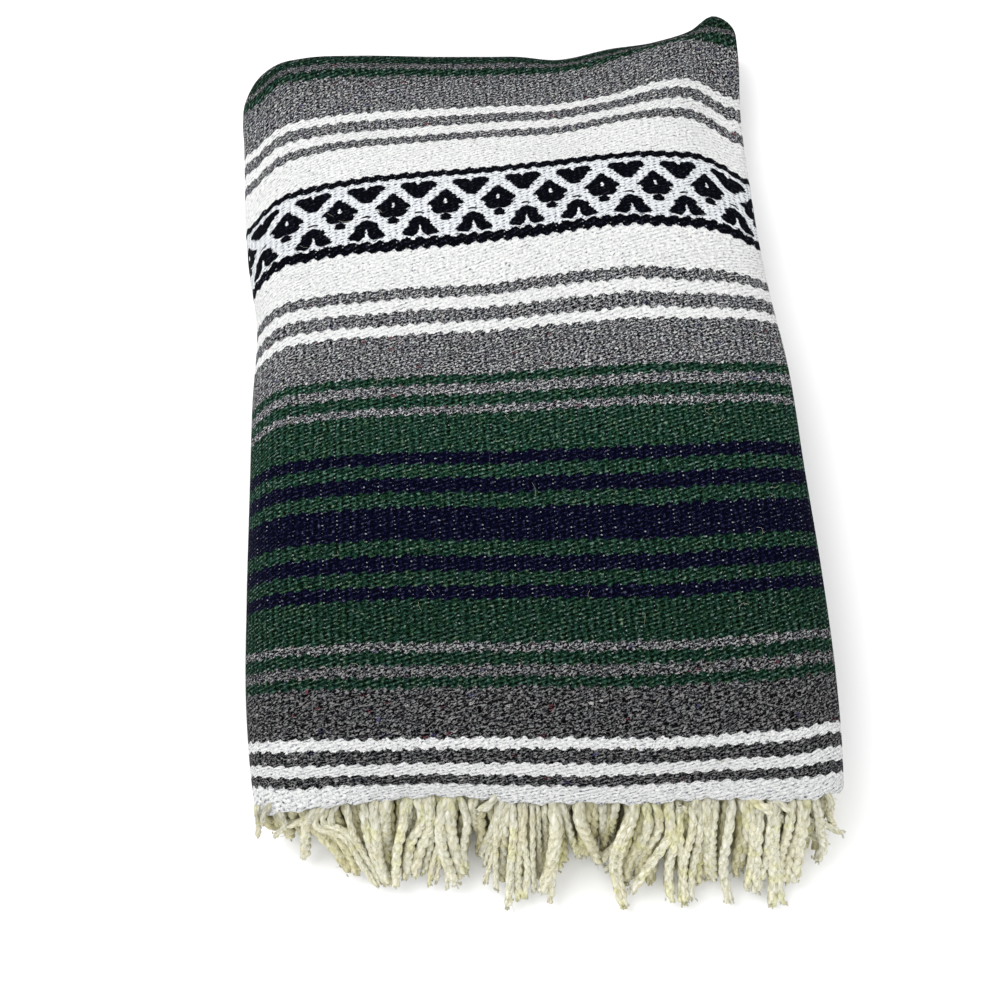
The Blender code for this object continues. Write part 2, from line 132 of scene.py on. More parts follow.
# The stripes from the middle of a navy band to the middle of a diamond band: width in mm and colour.
STRIPES = (
    (8.9, "navy"), (8.5, "green"), (8.6, "navy"), (8.0, "green"), (6.9, "navy"), (23.3, "green"),
    (4.7, "grey"), (7.1, "green"), (6.6, "grey"), (5.4, "green"), (26.1, "grey"), (6.5, "white"),
    (8.4, "grey"), (7.8, "white"), (6.6, "grey"), (26.8, "white"), (5.8, "black"), (23.6, "white"),
)
# Places of the pattern in mm.
BAND = 155.0  # the first navy band's middle, along the warp
HALF_REPEAT = 199.5
DIAMOND = 32.0  # the diamonds' repeat across
DIAMOND_AT = -1.6  # and the middle of one of them
ZONE_LOW = 331.0  # the diamond zone's near edge, along the warp


def smooth(at, stops, values):
    """Values at places, on a smooth curve through the values at the stops."""
    at = np.atleast_1d(np.asarray(at, float))
    stops = np.asarray(stops, float)
    values = np.broadcast_to(np.asarray(values, float), (len(at), len(stops)))
    slopes = np.gradient(values, stops, axis=1)
    at = np.clip(at, stops[0], stops[-1])
    i = np.clip(np.searchsorted(stops, at) - 1, 0, len(stops) - 2)
    row = np.arange(len(at))
    step = stops[i + 1] - stops[i]
    t = (at - stops[i]) / step
    rise = (values[row, i + 1] - values[row, i]) * t * t * (3 - 2 * t)
    bends = slopes[row, i] * t * (1 - t) ** 2 - slopes[row, i + 1] * t * t * (1 - t)
    return values[row, i] + rise + step * bends


def ease(t):
    """0 to 1 with a soft start and end."""
    t = np.clip(t, 0.0, 1.0)
    return t * t * (3 - 2 * t)


def pile_height(across, along):
    """Height of the pile's top over places of the level pile."""
    columns = ("left_height", "mid_height", "ridge_height", "edge_height")
    heights = np.stack([smooth(along, PLAN["along"], PLAN[name]) for name in columns], axis=1)
    heights = np.concatenate([heights[:, :1], heights, heights[:, -1:]], axis=1)
    height = smooth(across, (-HALF,) + HEIGHT_PLACES + (HALF,), heights)
    for x, y, half_x, half_y, rise in zip(*SWELLS.values()):
        height = height + rise * np.exp(-((across - x) / half_x) ** 2 - ((along - y) / half_y) ** 2)
    return height


def settle(across, along, up):
    """Where points of the square, level pile lie in the real one."""
    across, along, up = (np.asarray(v, float) for v in np.broadcast_arrays(across, along, up))
    shape = across.shape
    across, along, up = across.ravel(), along.ravel(), up.ravel()
    left, right = (smooth(along, PLAN["along"], PLAN[name]) for name in ("left", "right"))
    hem, far, corner = (smooth(across, ENDS["across"], ENDS[name]) for name in ("hem", "far", "corner"))
    share = along / PILE_LENGTH
    x = left + (right - left) * (across + HALF) / PILE_WIDTH
    y = hem + (far - hem) * share + corner * ease((share - CORNER_START) / (1 - CORNER_START))
    z = up * pile_height(across, along) / PILE_HEIGHT
    return (np.stack([x, y, z], axis=1) - ORIGIN).reshape(*shape, 3)


def far_warp(x, way):
    """Place along the warp of points a way beyond the last line, over the far fold."""
    at = np.clip(x, LINE_PLACES[0], LINE_PLACES[-1])
    far = smooth(at, ENDS["across"], np.add(ENDS["far"], ENDS["corner"]))
    in_sight = far - 0.0014 - smooth(at, LINE_PLACES, list(STRIPE_LINES.values())[-1])
    wide = np.interp(x, WIDE_PLACES, WIDE_SHARES)
    if_wide, if_narrow = (np.interp(way / in_sight, shares, FAR_WARPS) for shares in (FAR_WIDE, FAR_NARROW))
    return list(STRIPE_LINES)[-1] + wide * if_wide + (1 - wide) * if_narrow


def warp_place(x, y, extra):
    """Place along the warp, from the hem, of the pile's top at x, y, and an extra way over the far fold."""
    shape = x.shape
    x, y = x.ravel(), (y + extra).ravel()
    at = np.clip(x, LINE_PLACES[0], LINE_PLACES[-1])
    hem = smooth(x, ENDS["across"], ENDS["hem"])
    lines = [hem] + [smooth(at, LINE_PLACES, ys) for ys in STRIPE_LINES.values()]
    warp = [0.0] + list(STRIPE_LINES)
    result = np.zeros(len(x))
    for low, high, start, end in zip(lines, lines[1:], warp, warp[1:]):
        inside = (y >= low) & (y < high)
        share = (y - low) / (high - low)
        result = np.where(inside, start + (end - start) * share, result)
    result = np.where(y >= lines[-1], far_warp(x, y - lines[-1]), result)
    return np.where(y < lines[0], y - lines[0], result).reshape(shape)


def arc(centre, half_wide, half_high, start, end, count):
    """Points of an ellipse's arc between two angles in degrees."""
    angles = np.radians(np.linspace(start, end, count))
    return np.stack([centre[0] + half_wide * np.cos(angles), centre[1] + half_high * np.sin(angles)], axis=1)


def straight(start, end, up, count):
    """Evenly spaced points at one height."""
    return np.stack([np.linspace(start, end, count), np.full(count, up)], axis=1)


def round_left(depth, right_low, right_high, flat, fold):
    """(across, up) from the lower right, along the underside, round the left fold and back along the top."""
    centre = (-HALF + LEFT_FOLD, MIDDLE)
    under = straight(right_low, centre[0], depth, flat)
    left = arc(centre, LEFT_FOLD - depth, MIDDLE - depth, 270, 90, fold)
    over = straight(centre[0], right_high, PILE_HEIGHT - depth, flat)
    return np.concatenate([under, left[1:-1], over])


def round_right(depth, count):
    """(across, up) from the top of the right fold to its underside."""
    centre = (HALF - RIGHT_FOLD, MIDDLE + PILE_HEIGHT / 4)
    return arc(centre, RIGHT_FOLD - depth, PILE_HEIGHT / 4 - depth, 90, -90, count)


def far_fold(depth, count):
    """(along, depth) over the rounded far fold of four layers."""
    return arc((PILE_LENGTH - FAR_FOLD, FAR_DEPTH), FAR_FOLD - depth, FAR_DEPTH - depth, 270, 450, count)


def mesh_piece(name, points, faces, maps, material):
    """A smooth mesh object from points, faces and a map's place for every point."""
    mesh = bpy.data.meshes.new(name)
    mesh.from_pydata(points.tolist(), [], faces)
    layer = mesh.uv_layers.new(name="Cloth")
    corners = np.empty(len(mesh.loops), dtype=np.int32)
    mesh.loops.foreach_get("vertex_index", corners)
    layer.data.foreach_set("uv", maps[corners].astype(np.float32).ravel())
    mesh.polygons.foreach_set("use_smooth", np.ones(len(mesh.polygons), dtype=bool))
    mesh.materials.append(material)
    mesh.update()
    piece = bpy.data.objects.new(name, mesh)
    bpy.context.scene.collection.objects.link(piece)
    return piece


def grid_faces(rows, columns, closed_rows=False, closed_columns=False):
    """Quads of a grid of points numbered row by row."""
    faces = []
    for k in range(rows if closed_rows else rows - 1):
        for i in range(columns if closed_columns else columns - 1):
            k2 = (k + 1) % rows
            i2 = (i + 1) % columns
            faces.append((k * columns + i, k * columns + i2, k2 * columns + i2, k2 * columns + i))
    return faces


def join(operation, swapped=False):
    """A method that joins a value and another one, or a number, by a math node."""
    def method(self, other):
        return self.shader.math(operation, *((other, self) if swapped else (self, other)))
    return method


class Value:
    """An output of a shader's node, which takes part in a sum as a number does."""

    __add__ = __radd__ = join("ADD")
    __mul__ = __rmul__ = join("MULTIPLY")
    __sub__ = join("SUBTRACT")
    __rsub__ = join("SUBTRACT", swapped=True)
    __truediv__ = join("DIVIDE")
    __gt__ = join("GREATER_THAN")
    __lt__ = join("GREATER_THAN", swapped=True)

    def __init__(self, shader, socket):
        self.shader = shader
        self.socket = socket


class Shader:
    """A material, and functions that make its nodes."""

    def __init__(self, name, roughness, sheen):
        self.material = bpy.data.materials.new(name)
        self.material.use_nodes = True
        self.tree = self.material.node_tree
        self.surface = self.tree.nodes["Principled BSDF"]
        self.fill(self.surface, {
            "Roughness": roughness, "Specular IOR Level": 0.04, "Sheen Weight": sheen, "Sheen Roughness": 0.6,
        })

    def fill(self, node, inputs, output=0):
        """Puts values, numbers and colours at a node's inputs, and gives one of its outputs."""
        for place, value in inputs.items():
            if isinstance(value, Value):
                self.tree.links.new(value.socket, node.inputs[place])
            else:
                node.inputs[place].default_value = (*value, 1.0) if isinstance(value, tuple) else value
        return Value(self, node.outputs[output])

    def make(self, kind, inputs, output=0):
        """A new node of a plain kind."""
        return self.fill(self.tree.nodes.new("ShaderNode" + kind), inputs, output)

    def math(self, operation, *values):
        node = self.tree.nodes.new("ShaderNodeMath")
        node.operation = operation
        return self.fill(node, dict(enumerate(values)))

    def floor(self, value):
        return self.math("FLOOR", value)

    def power(self, value, exponent):
        return self.math("POWER", value, exponent)

    def at_least(self, value, least=0.0):
        return self.math("MAXIMUM", value, least)

    def from_middle(self, value, width=1.0):
        """How far a value is from the middle of its whole step, where a step is so wide."""
        return (self.math("FRACT", value) - 0.5) * width

    def toward_edge(self, value):
        """0 in the middle of each whole step of a value, 1 at its edges."""
        return self.power(self.math("ABSOLUTE", self.from_middle(value, 2.0)), 2.0)

    def rise(self, value, low, width):
        """0 below low, and nearly 1 from low + width on."""
        return self.math("SMOOTH_MIN", self.at_least((value - low) / width), 1.0, 0.2)

    def vector(self, x, y, z=0.0):
        return self.make("CombineXYZ", {0: x, 1: y, 2: z})

    def split(self, colour):
        """The three parts of a colour."""
        node = self.tree.nodes.new("ShaderNodeSeparateColor")
        self.fill(node, {0: colour})
        return [Value(self, output) for output in node.outputs]

    def cloth_map(self):
        """The Cloth map in mm."""
        node = self.tree.nodes.new("ShaderNodeUVMap")
        node.uv_map = "Cloth"
        parts = self.tree.nodes.new("ShaderNodeSeparateXYZ")
        self.tree.links.new(node.outputs[0], parts.inputs[0])
        return [Value(self, output) * 1000.0 for output in parts.outputs[:2]]

    def noise(self, place, scale, detail=2.0, output="Fac"):
        return self.make("TexNoise", {"Vector": place, "Scale": scale, "Detail": detail}, output)

    def noises(self, place, scale, detail=2.0):
        """Three noises."""
        return self.split(self.noise(place, scale, detail, "Color"))

    def grain(self, weave, fine_u, fine_v, layer=0.0, detail=1.0):
        """A noise about 0, of its own fineness along the weave's u and v."""
        return self.noise(self.vector(weave.u * fine_u, weave.v * fine_v, layer), 1.0, detail) - 0.5

    def random(self, place):
        """A random share for each place, a vector of three whole numbers."""
        return self.make("TexWhiteNoise", {"Vector": place}, "Value")

    def ramp(self, value, stops, interpolation="LINEAR"):
        """The colour of the stops, (place, colour), at a value."""
        node = self.tree.nodes.new("ShaderNodeValToRGB")
        node.color_ramp.interpolation = interpolation
        elements = node.color_ramp.elements
        while len(elements) > 1:
            elements.remove(elements[-1])
        for n, (place, colour) in enumerate(stops):
            element = elements[0] if n == 0 else elements.new(place)
            element.position = place
            element.color = (*colour, 1.0)
        return self.fill(node, {0: value}, "Color")

    def mix(self, factor, a, b, blend="MIX"):
        node = self.tree.nodes.new("ShaderNodeMix")
        node.data_type = "RGBA"
        node.blend_type = blend
        return self.fill(node, {0: factor, 6: a, 7: b}, 2)

    def tint(self, factor, colour, tint):
        """The colour, multiplied by a tint as far as the factor says."""
        return self.mix(factor, colour, self.mix(1.0, colour, tint, "MULTIPLY"))

    def shade(self, colour, level):
        """The colour at a level of brightness."""
        return self.mix(1.0, colour, self.vector(level, level, level), "MULTIPLY")

    def finish(self, colour, height, depth, strength):
        """The material, with its colour and its relief."""
        relief = self.make("Bump", {"Distance": depth, "Strength": strength, "Height": height})
        self.fill(self.surface, {"Base Color": colour, "Normal": relief})
        return self.material


LIGHT_LEVEL = 1.48  # brightness of a white surface lying free under the scene's light


def dyed(*values):
    """The dye which the scene's light shows in these values on a screen, of 255 or brighter for white."""
    return tuple((v / 255) ** 2.2 / LIGHT_LEVEL for v in values)


def undyed(*values):
    """A yarn's own colour, of 0 to 255 values."""
    return tuple((v / 255) ** 2.2 for v in values)


def coloured(stops, colour):
    """A ramp's stops, each a place and the three values of a colour."""
    return [(place, colour(*values)) for place, *values in stops]


WARP = 4.0  # mm between two warp yarns
PICK = 2.25  # mm from one row of weft beads to the next
CLASSES = {"white": 0.0, "navy": 0.3, "black": 0.5, "green": 0.7, "grey": 0.9}
CLASS_STEP = 0.1  # less than what lies between two classes

# The dyed yarns, from the painted shade of the deepest hollow to the brightest fibre: place on the ramp, and
# colour on a screen.
DYES = {
    "white": ((0.08, 110, 114, 126), (0.22, 184, 187, 194), (0.36, 232, 234, 235), (0.54, 257, 258, 257),
              (0.74, 274, 274, 272)),
    "navy":  ((0.24, 0, 0, 14), (0.44, 4, 6, 29), (0.58, 13, 15, 42), (0.74, 36, 38, 64),
              (0.92, 98, 100, 118)),
    "black": ((0.24, 0, 0, 6), (0.50, 2, 5, 15), (0.68, 16, 19, 32), (0.88, 60, 63, 78)),
    "green": ((0.20, 0, 8, 5), (0.38, 10, 32, 24), (0.54, 28, 54, 44), (0.70, 54, 84, 72),
              (0.90, 126, 146, 136)),
    "grey":  ((0.16, 11, 12, 15), (0.32, 54, 55, 59), (0.46, 94, 96, 100), (0.60, 140, 142, 145),
              (0.74, 193, 195, 195), (0.88, 230, 231, 228)),
}
# Coloured flecks in the grey, by their chance: dark red, violet, ochre and pale.
FLECKS = ((0.984, 112, 26, 46), (0.987, 66, 60, 112), (0.989, 130, 132, 92), (0.991, 204, 202, 200))
FLECK_LONG = 2.6  # mm
FLECK_HIGH = 1.5
NEP = (150, 176, 162)  # pale fibre knots in the green
LINT = (96, 102, 104)  # dark specks on the white
PALE_WARP = (196, 204, 208)
RAW_YARN = ((0.22, 158, 154, 118), (0.40, 206, 203, 174), (0.55, 228, 225, 202), (0.78, 244, 242, 228))

# Slight changes of colour from place to place, as factors of red, green and blue.
RED_TINT = (1.0, 0.78, 0.86)
BLUE_TINT = (0.84, 0.86, 1.0)
TEAL_TINT = (0.55, 0.92, 0.84)
OLIVE_TINT = (1.25, 1.12, 0.72)
COOL_TINT = (0.99, 1.01, 1.045)
GREYISH_TINT = (0.93, 0.95, 1.04)
YELLOW_TINT = (0.98, 1.0, 0.62)
BROWN_TINT = (0.86, 0.80, 0.66)

# Changes along the warp in mm: where they start, and over how much.
HEM_DARK_FADE = (62.0, 48.0)  # clear of the darker cloth near the hem
LIGHT_GREEN = (115.0, 80.0)  # green turns lighter
FAR_FOLD_SHADE = (478.0, 26.0)  # painted shade over the far fold, counted back from its darkest place
CLEAR_OF_ROOT_SHADE = (5.0, 17.0)  # along a strand, clear of the painted shade at its root

# Half widths in mm of the band's figures, by height in mm over the zone's near edge: (height, outer, inner).
DIAMOND_FIGURE = (
    (11.3, 0, 0), (11.4, 1.6, 0), (12.2, 2.9, 0), (13.4, 3.5, 0), (15.0, 3.4, 0), (16.2, 2.4, 0),
    (16.8, 0.6, 0), (17.0, 5.0, 0), (17.6, 6.5, 0), (19.0, 8.4, 0), (21.0, 8.8, 0), (22.5, 8.2, 0),
    (24.0, 10.2, 0), (24.5, 10.8, 0.8), (25.4, 11.2, 0.9), (26.4, 9.6, 0.9), (27.4, 8.2, 0.7),
    (28.0, 7.6, 0), (29.0, 6.8, 0), (31.0, 5.5, 0), (33.0, 3.5, 0), (35.0, 1.5, 0), (35.6, 0, 0),
)
HEART_FIGURE = (
    (1.2, 0, 0), (1.5, 8.6, 4.2), (2.2, 9.8, 3.0), (3.2, 10.8, 1.8), (4.6, 11.0, 1.0), (6.4, 9.4, 0.6),
    (8.3, 7.6, 0.4), (9.2, 7.0, 0), (10.6, 7.2, 0), (12.2, 6.9, 0), (14.0, 5.4, 0), (15.5, 3.2, 0),
    (16.4, 0, 0), (18.1, 0, 0), (18.3, 3.2, 0), (19.3, 3.2, 0), (19.5, 0, 0), (29.5, 0, 0), (29.8, 2.0, 0),
    (31.0, 3.2, 0), (33.0, 5.2, 0), (34.5, 6.2, 0), (36.0, 8.0, 0), (37.5, 8.8, 0), (39.0, 10.4, 0),
    (40.4, 11.4, 0), (41.2, 11.4, 0.4), (42.2, 11.0, 1.0), (43.3, 9.2, 2.2), (44.0, 0, 0),
)
FIGURE_WIDE = 16.0
ZONE_HIGH = 47.2
SCALLOP = 0.030  # how far the rows of weft step a figure's edge, as a share of FIGURE_WIDE


def figure_mask(s, across, height, figure, scallop):
    """1 inside a figure: within its outer half width, which the rows scallop, and beyond its inner one."""
    stops = [(h / ZONE_HIGH, (outer / FIGURE_WIDE, inner / FIGURE_WIDE, 0)) for h, outer, inner in figure]
    widths = s.ramp(height / ZONE_HIGH, [(0.0, (0, 0, 0))] + stops + [(1.0, (0, 0, 0))])
    outer, inner, _ = s.split(widths)
    share = s.math("ABSOLUTE", across) / FIGURE_WIDE
    return (outer > s.at_least(share + scallop, 0.0)) * (share > inner - 0.001)


def weave_places(s):
    """Values of the weave: places across and along in mm, its rows and columns, hollows and fibres."""
    w = SimpleNamespace()
    raw_across, w.raw_along = s.cloth_map()
    w.place = s.vector(raw_across, w.raw_along)
    wander_across, wander_along, _ = s.noises(w.place, 0.035)
    shake_across, shake_along, _ = s.noises(w.place, 0.45)
    w.across = raw_across + (wander_across - 0.5) * 2.4 + (shake_across - 0.5) * 1.6
    w.along = w.raw_along + (wander_along - 0.5) * 2.6 + (shake_along - 0.5)

    # Rows rise to the right by half a pick for every warp yarn, and hollows lie between them at the warps;
    # the colours paint shade into them.
    w.columns = w.across / WARP
    w.rows = w.along / PICK - w.columns * 0.5
    w.side = s.toward_edge(w.rows)
    end = s.toward_edge(w.columns)
    w.hollow = w.side * (0.35 + end * 0.80) + end * 0.15

    # Fibres drawn out along the rows, bent about by a finer noise.
    curl, curl_up, _ = s.noises(w.place, 0.8, 1.0)
    w.u = w.across + curl * 2.2
    w.v = w.rows * PICK + curl_up * 1.8
    w.blobs = s.grain(w, 0.52, 0.80)
    w.hairs = s.grain(w, 0.95, 1.7, 7.0)
    w.tufts = s.grain(w, 0.62, 1.15, 3.0, 2.0)
    w.slubs = s.grain(w, 0.30, 0.72, 5.0)
    # The hollows lower this value, which darkens the colours as painted shade and lowers the relief.
    w.even = 0.62 + w.blobs * 1.15 + w.hairs * 0.85 - w.hollow * 0.50
    return w


def stripe_pattern(s, w):
    """The stripes' class, the diamond band's figures, and 1 inside its zone."""
    # The stripes' edges swell over every second warp.
    turn = w.columns * math.pi
    wave = s.math("SINE", turn + s.math("SINE", turn) * 0.30)
    edge_along = w.along + wave * 0.75 + w.blobs * 2.2 + w.hairs * 1.6
    from_band = s.math("PINGPONG", edge_along - BAND, HALF_REPEAT)
    stops = []
    start = 0.0
    for width, colour in STRIPES:
        stops.append((start / HALF_REPEAT, (CLASSES[colour],) * 3))
        start += width
    kind = s.split(s.ramp(from_band / HALF_REPEAT, stops, "CONSTANT"))[0]

    figure_across = w.across + w.hairs * 2.0 + w.blobs * 1.6
    from_navy = s.math("PINGPONG", w.along + wave * 0.35 - BAND, 2 * HALF_REPEAT)
    height = from_navy - (ZONE_LOW - BAND)
    scallop = s.math("COSINE", w.rows * (2 * math.pi)) * SCALLOP
    repeat = (figure_across - DIAMOND_AT) / DIAMOND
    masks = []
    for shift, figure in ((0.5, DIAMOND_FIGURE), (1.0, HEART_FIGURE)):
        nearest = s.from_middle(repeat + shift, DIAMOND)
        masks.append(figure_mask(s, nearest, height, figure, scallop))
    return kind, s.at_least(*masks), (height > 0.0) * (ZONE_HIGH > height)


def from_class(kind, name):
    """1 in the stripes of a class and of those after it."""
    return kind > CLASSES[name] - CLASS_STEP


def dye_colours(s, w, in_band):
    """Colours of the yarns: darker and rougher near the hem, and with painted shade over the far fold."""
    def ramp(value, name):
        return s.ramp(value, coloured(DYES[name], dyed))

    # Near the hem the yarns are darker and rougher, fading out by about 110 mm along the warp.
    clear_of_hem = s.rise(w.raw_along, *HEM_DARK_FADE)
    hem_dark = 1.0 - clear_of_hem
    # Painted shade: grey and green darken over the far fold and under the far end.
    far_shade_start, far_shade_width = FAR_FOLD_SHADE
    far_fold_shade = s.power(s.at_least(1.0 - s.at_least((far_shade_start - w.raw_along) / far_shade_width)), 1.5)
    tint_a, tint_b, tint_c = s.noises(w.place, 0.16)

    # The grey's hollows also get painted shade.
    heather = 0.52 + w.tufts * 2.30 + w.hairs * 1.85 - w.hollow * 0.34
    heather = heather + (w.tufts * 0.9 + w.slubs * 1.5) * hem_dark
    grey = s.tint((tint_a > 0.56) * 0.24, ramp(heather, "grey"), RED_TINT)
    grey = s.tint((tint_b > 0.58) * 0.30, grey, BLUE_TINT)
    grey = s.shade(grey, (0.39 + clear_of_hem * 0.61) * (1.0 - far_fold_shade * 0.45))
    chance = s.random(s.vector(s.floor(w.u / FLECK_LONG), s.floor(w.v / FLECK_HIGH)))
    fleck = s.ramp(chance, coloured(FLECKS, dyed), "CONSTANT")
    grey = s.mix((chance > FLECKS[0][0]) * (heather > 0.42) * 0.75, grey, fleck)

    green = s.tint((tint_c > 0.56) * 0.5, ramp(w.even, "green"), TEAL_TINT)
    green = s.tint((tint_a > 0.54) * 0.5, green, OLIVE_TINT)
    green = s.mix((s.noise(w.place, 0.42, 1.0) > 0.755) * 0.45, green, dyed(*NEP))
    green = s.shade(green, (1.0 + s.rise(w.raw_along, *LIGHT_GREEN) * 0.27) * (1.0 - far_fold_shade * 0.38))

    # White shows slanted ribs with painted shade between the rows; in the band, painted shade in the hollows
    # round its beads.
    pale = w.even + w.hollow * (0.50 - in_band * 0.54) - w.side * (1.0 - in_band) * 0.22
    pale = pale + w.tufts * (0.62 + s.at_least(in_band, hem_dark) * 0.42)
    white = ramp(pale - hem_dark * 0.04, "white")
    white = s.mix((s.noise(w.place, 0.70, 1.0) > 0.785) * 0.75, white, dyed(*LINT))
    white = s.tint(in_band, white, COOL_TINT)
    navy, black = (ramp(w.even, name) for name in ("navy", "black"))
    return {"white": white, "navy": navy, "black": black, "green": green, "grey": grey}


def pin_dots(s, w, kind, colour):
    """The pale warp between two beads: in every second column of navy and black, fainter in green."""
    column = w.across / (WARP * 2) + 0.5
    row = w.along / PICK
    luck = s.random(s.vector(s.floor(column), s.floor(row), 2.0))
    away_across = s.from_middle(column, WARP * 2)
    away_along = s.from_middle(row, PICK * 1.2)
    away = s.math("SQRT", s.power(away_across, 2.0) + s.power(away_along, 2.0))
    dark = from_class(kind, "navy") * (1.0 - from_class(kind, "green"))
    in_green = from_class(kind, "green") * (1.0 - from_class(kind, "grey"))
    dots = ((luck - 0.15) * 0.57 - in_green * 0.06 > away) * (dark + in_green)
    return s.mix(dots * (0.16 + luck * 0.52), colour, dyed(*PALE_WARP))


def cloth_material(name):
    """Slanted rows of soft weft beads, heather stripes, pin dots of warp and the diamond band."""
    s = Shader(name, 0.95, 0.0)
    w = weave_places(s)
    kind, figures, in_band = stripe_pattern(s, w)
    yarns = dye_colours(s, w, in_band)
    colour = yarns["white"]
    for dye in ("navy", "black", "green", "grey"):
        colour = s.mix(from_class(kind, dye), colour, yarns[dye])
    colour = pin_dots(s, w, kind, s.mix(figures, colour, yarns["black"]))
    return s.finish(colour, w.even * 1.1 + s.noise(w.place, 0.14) * 0.9, 0.0011, 0.9)


def yarn_material(name, shade):
    """Undyed cotton yarn, cream or greyish by strand, with fibres along the twist, and painted shade at its
    root.
    """
    s = Shader(name, 0.95, 0.05)
    turn, length = s.cloth_map()
    turn = turn / 1000.0
    place = s.make("TexCoord", {}, "Object")
    own = s.random(s.vector(s.floor(turn), 3.0))
    lines = s.math("SINE", turn * (8 * math.pi) + length * 1.1)
    streak = s.noise(s.vector(turn * 3.0 + length * 0.16, length * 0.12, own), 2.2, 3.0)
    fibres = s.noise(s.vector(turn * 14.0 + length * 0.75, length * 0.35, own), 2.2)
    brown, yellow, _ = s.noises(place, 60.0)
    colour = s.ramp(streak + (fibres - 0.5) * 0.55, coloured(RAW_YARN, undyed))
    colour = s.tint((own > 0.70) * 0.45, colour, GREYISH_TINT)
    colour = s.tint((yellow > 0.58) * 0.40, colour, YELLOW_TINT)
    colour = s.tint((brown > 0.60) * 0.35, colour, BROWN_TINT)
    # Painted shade at each strand's root, where it leaves the hem.
    colour = s.shade(colour, (0.90 + lines * 0.08) * (0.70 + s.rise(length, *CLEAR_OF_ROOT_SHADE) * 0.30))
    # A painted shade multiplies the colour: darker and olive for the rows that lie below.
    colour = s.mix(1.0, colour, shade, "MULTIPLY")
    relief = lines * 0.35 + streak * 0.8 + fibres * 0.5 + s.noise(place, 1300.0) * 0.8
    return s.finish(colour, relief, 0.0005, 0.7)


def ring_lengths(points, start):
    """Distance along each row of points, counted from the point numbered start, where it is the point's x."""
    steps = np.linalg.norm(np.diff(points, axis=1), axis=2)
    run = np.concatenate([np.zeros((len(points), 1)), np.cumsum(steps, axis=1)], axis=1)
    return run - run[:, start:start + 1] + points[:, start:start + 1, 0] + ORIGIN[0]


# Points of the rings, along each flat stretch and round each fold, and the rings of the outer cloth.
OUTER_FLAT = 86
OUTER_FOLD = 26
OUTER_RIGHT = 16
OUTER_FAR = 12
NEAR_RINGS = 9
NEAR_PART = 0.020
REST_START = 0.0232
RING_WIDE = 0.0031
CORE_FLAT = 30
CORE_FOLD = 20
CORE_RIGHT = 10
CORE_FAR = 9
# Waves of the ragged hem: how high, radians per metre across, and where they start.
HEM_WAVES = ((0.0007, 395, 0), (0.0005, 830, 1), (0.0006, 93, 0))
HEM_DEEP = 0.012  # how far in from the hem the cloth still waves


def map_cloth(points, flat_points, fold_points, extra):
    """The Cloth map of rings round the pile; extra is the way beyond the barrel's end, ring by ring."""
    middle = flat_points + fold_points - 2 + flat_points // 2
    across = ring_lengths(points, middle)
    place = points + ORIGIN
    return np.stack([across, warp_place(place[:, :, 0], place[:, :, 1], extra[:, None])], axis=2)


def outer_ring(along, depth):
    """One ring of the outer cloth: round the left fold, over the top and round the right fold."""
    path = np.concatenate([
        round_left(depth, SELVEDGE, HALF - RIGHT_FOLD, OUTER_FLAT, OUTER_FOLD),
        round_right(depth, OUTER_RIGHT)[1:],
    ])
    across, up = path.T
    ragged = sum(high * np.sin(across * turns + start) for high, turns, start in HEM_WAVES)
    return settle(across, along + ragged * max(0.0, 1 - abs(along) / HEM_DEEP), up)


def make_outer_cloth(material):
    """The cloth that shows: over the top, round both sides and the far end, and under the pile."""
    near = np.linspace(0.0, NEAR_PART, NEAR_RINGS)
    barrel = np.concatenate([near, np.arange(REST_START, PILE_LENGTH - FAR_FOLD - 0.001, RING_WIDE)])
    face = [(a, 0.0) for a in barrel] + [tuple(p) for p in far_fold(0.0, OUTER_FAR)]
    back = [(a, CLOTH) for a in barrel] + [tuple(p) for p in far_fold(CLOTH, OUTER_FAR)]
    hem = [(-0.0006, CLOTH * 0.72), (-0.0009, CLOTH * 0.38)]
    points = np.array([outer_ring(along, depth) for along, depth in face + back[::-1] + hem])
    rows, columns = points.shape[:2]
    innermost = 2 * len(face) - 1

    # Over the far fold the map goes on from the barrel's last ring, by the way passed.
    extra = np.zeros(rows)
    stay = points.copy()
    for n in range(1, OUTER_FAR):
        for ring in (len(barrel) + n, innermost - len(barrel) - n):
            extra[ring] = (FAR_FOLD + FAR_DEPTH) / 2 * math.pi * n / (OUTER_FAR - 1)
            stay[ring] = points[len(barrel)]
    maps = map_cloth(stay, OUTER_FLAT, OUTER_FOLD, extra)

    # The selvedges at both ends of the rings close the cloth's thickness.
    faces = grid_faces(rows, columns, closed_rows=True)
    for end in (0, columns - 1):
        closing = [(k, k + 1, innermost - k - 1, innermost - k) for k in range(len(face) - 1)]
        for corners in closing + [(0, innermost, rows - 2, rows - 1)]:
            faces.append(tuple(ring * columns + end for ring in corners))
    return mesh_piece("cloth_outer", points.reshape(-1, 3), faces, maps.reshape(-1, 2), material)


# The hidden layers' edges, as in the solids, with rounder profiles.
NEAR_EDGES = {
    "layers": (1, 2, 2, 1, 1),
    "back":   (0.0045, 0.0080, 0.0065, 0.0050, 0.0060),
    "warp":   (0.002, 0.953, 0.953, 0.004, 0.003),
}
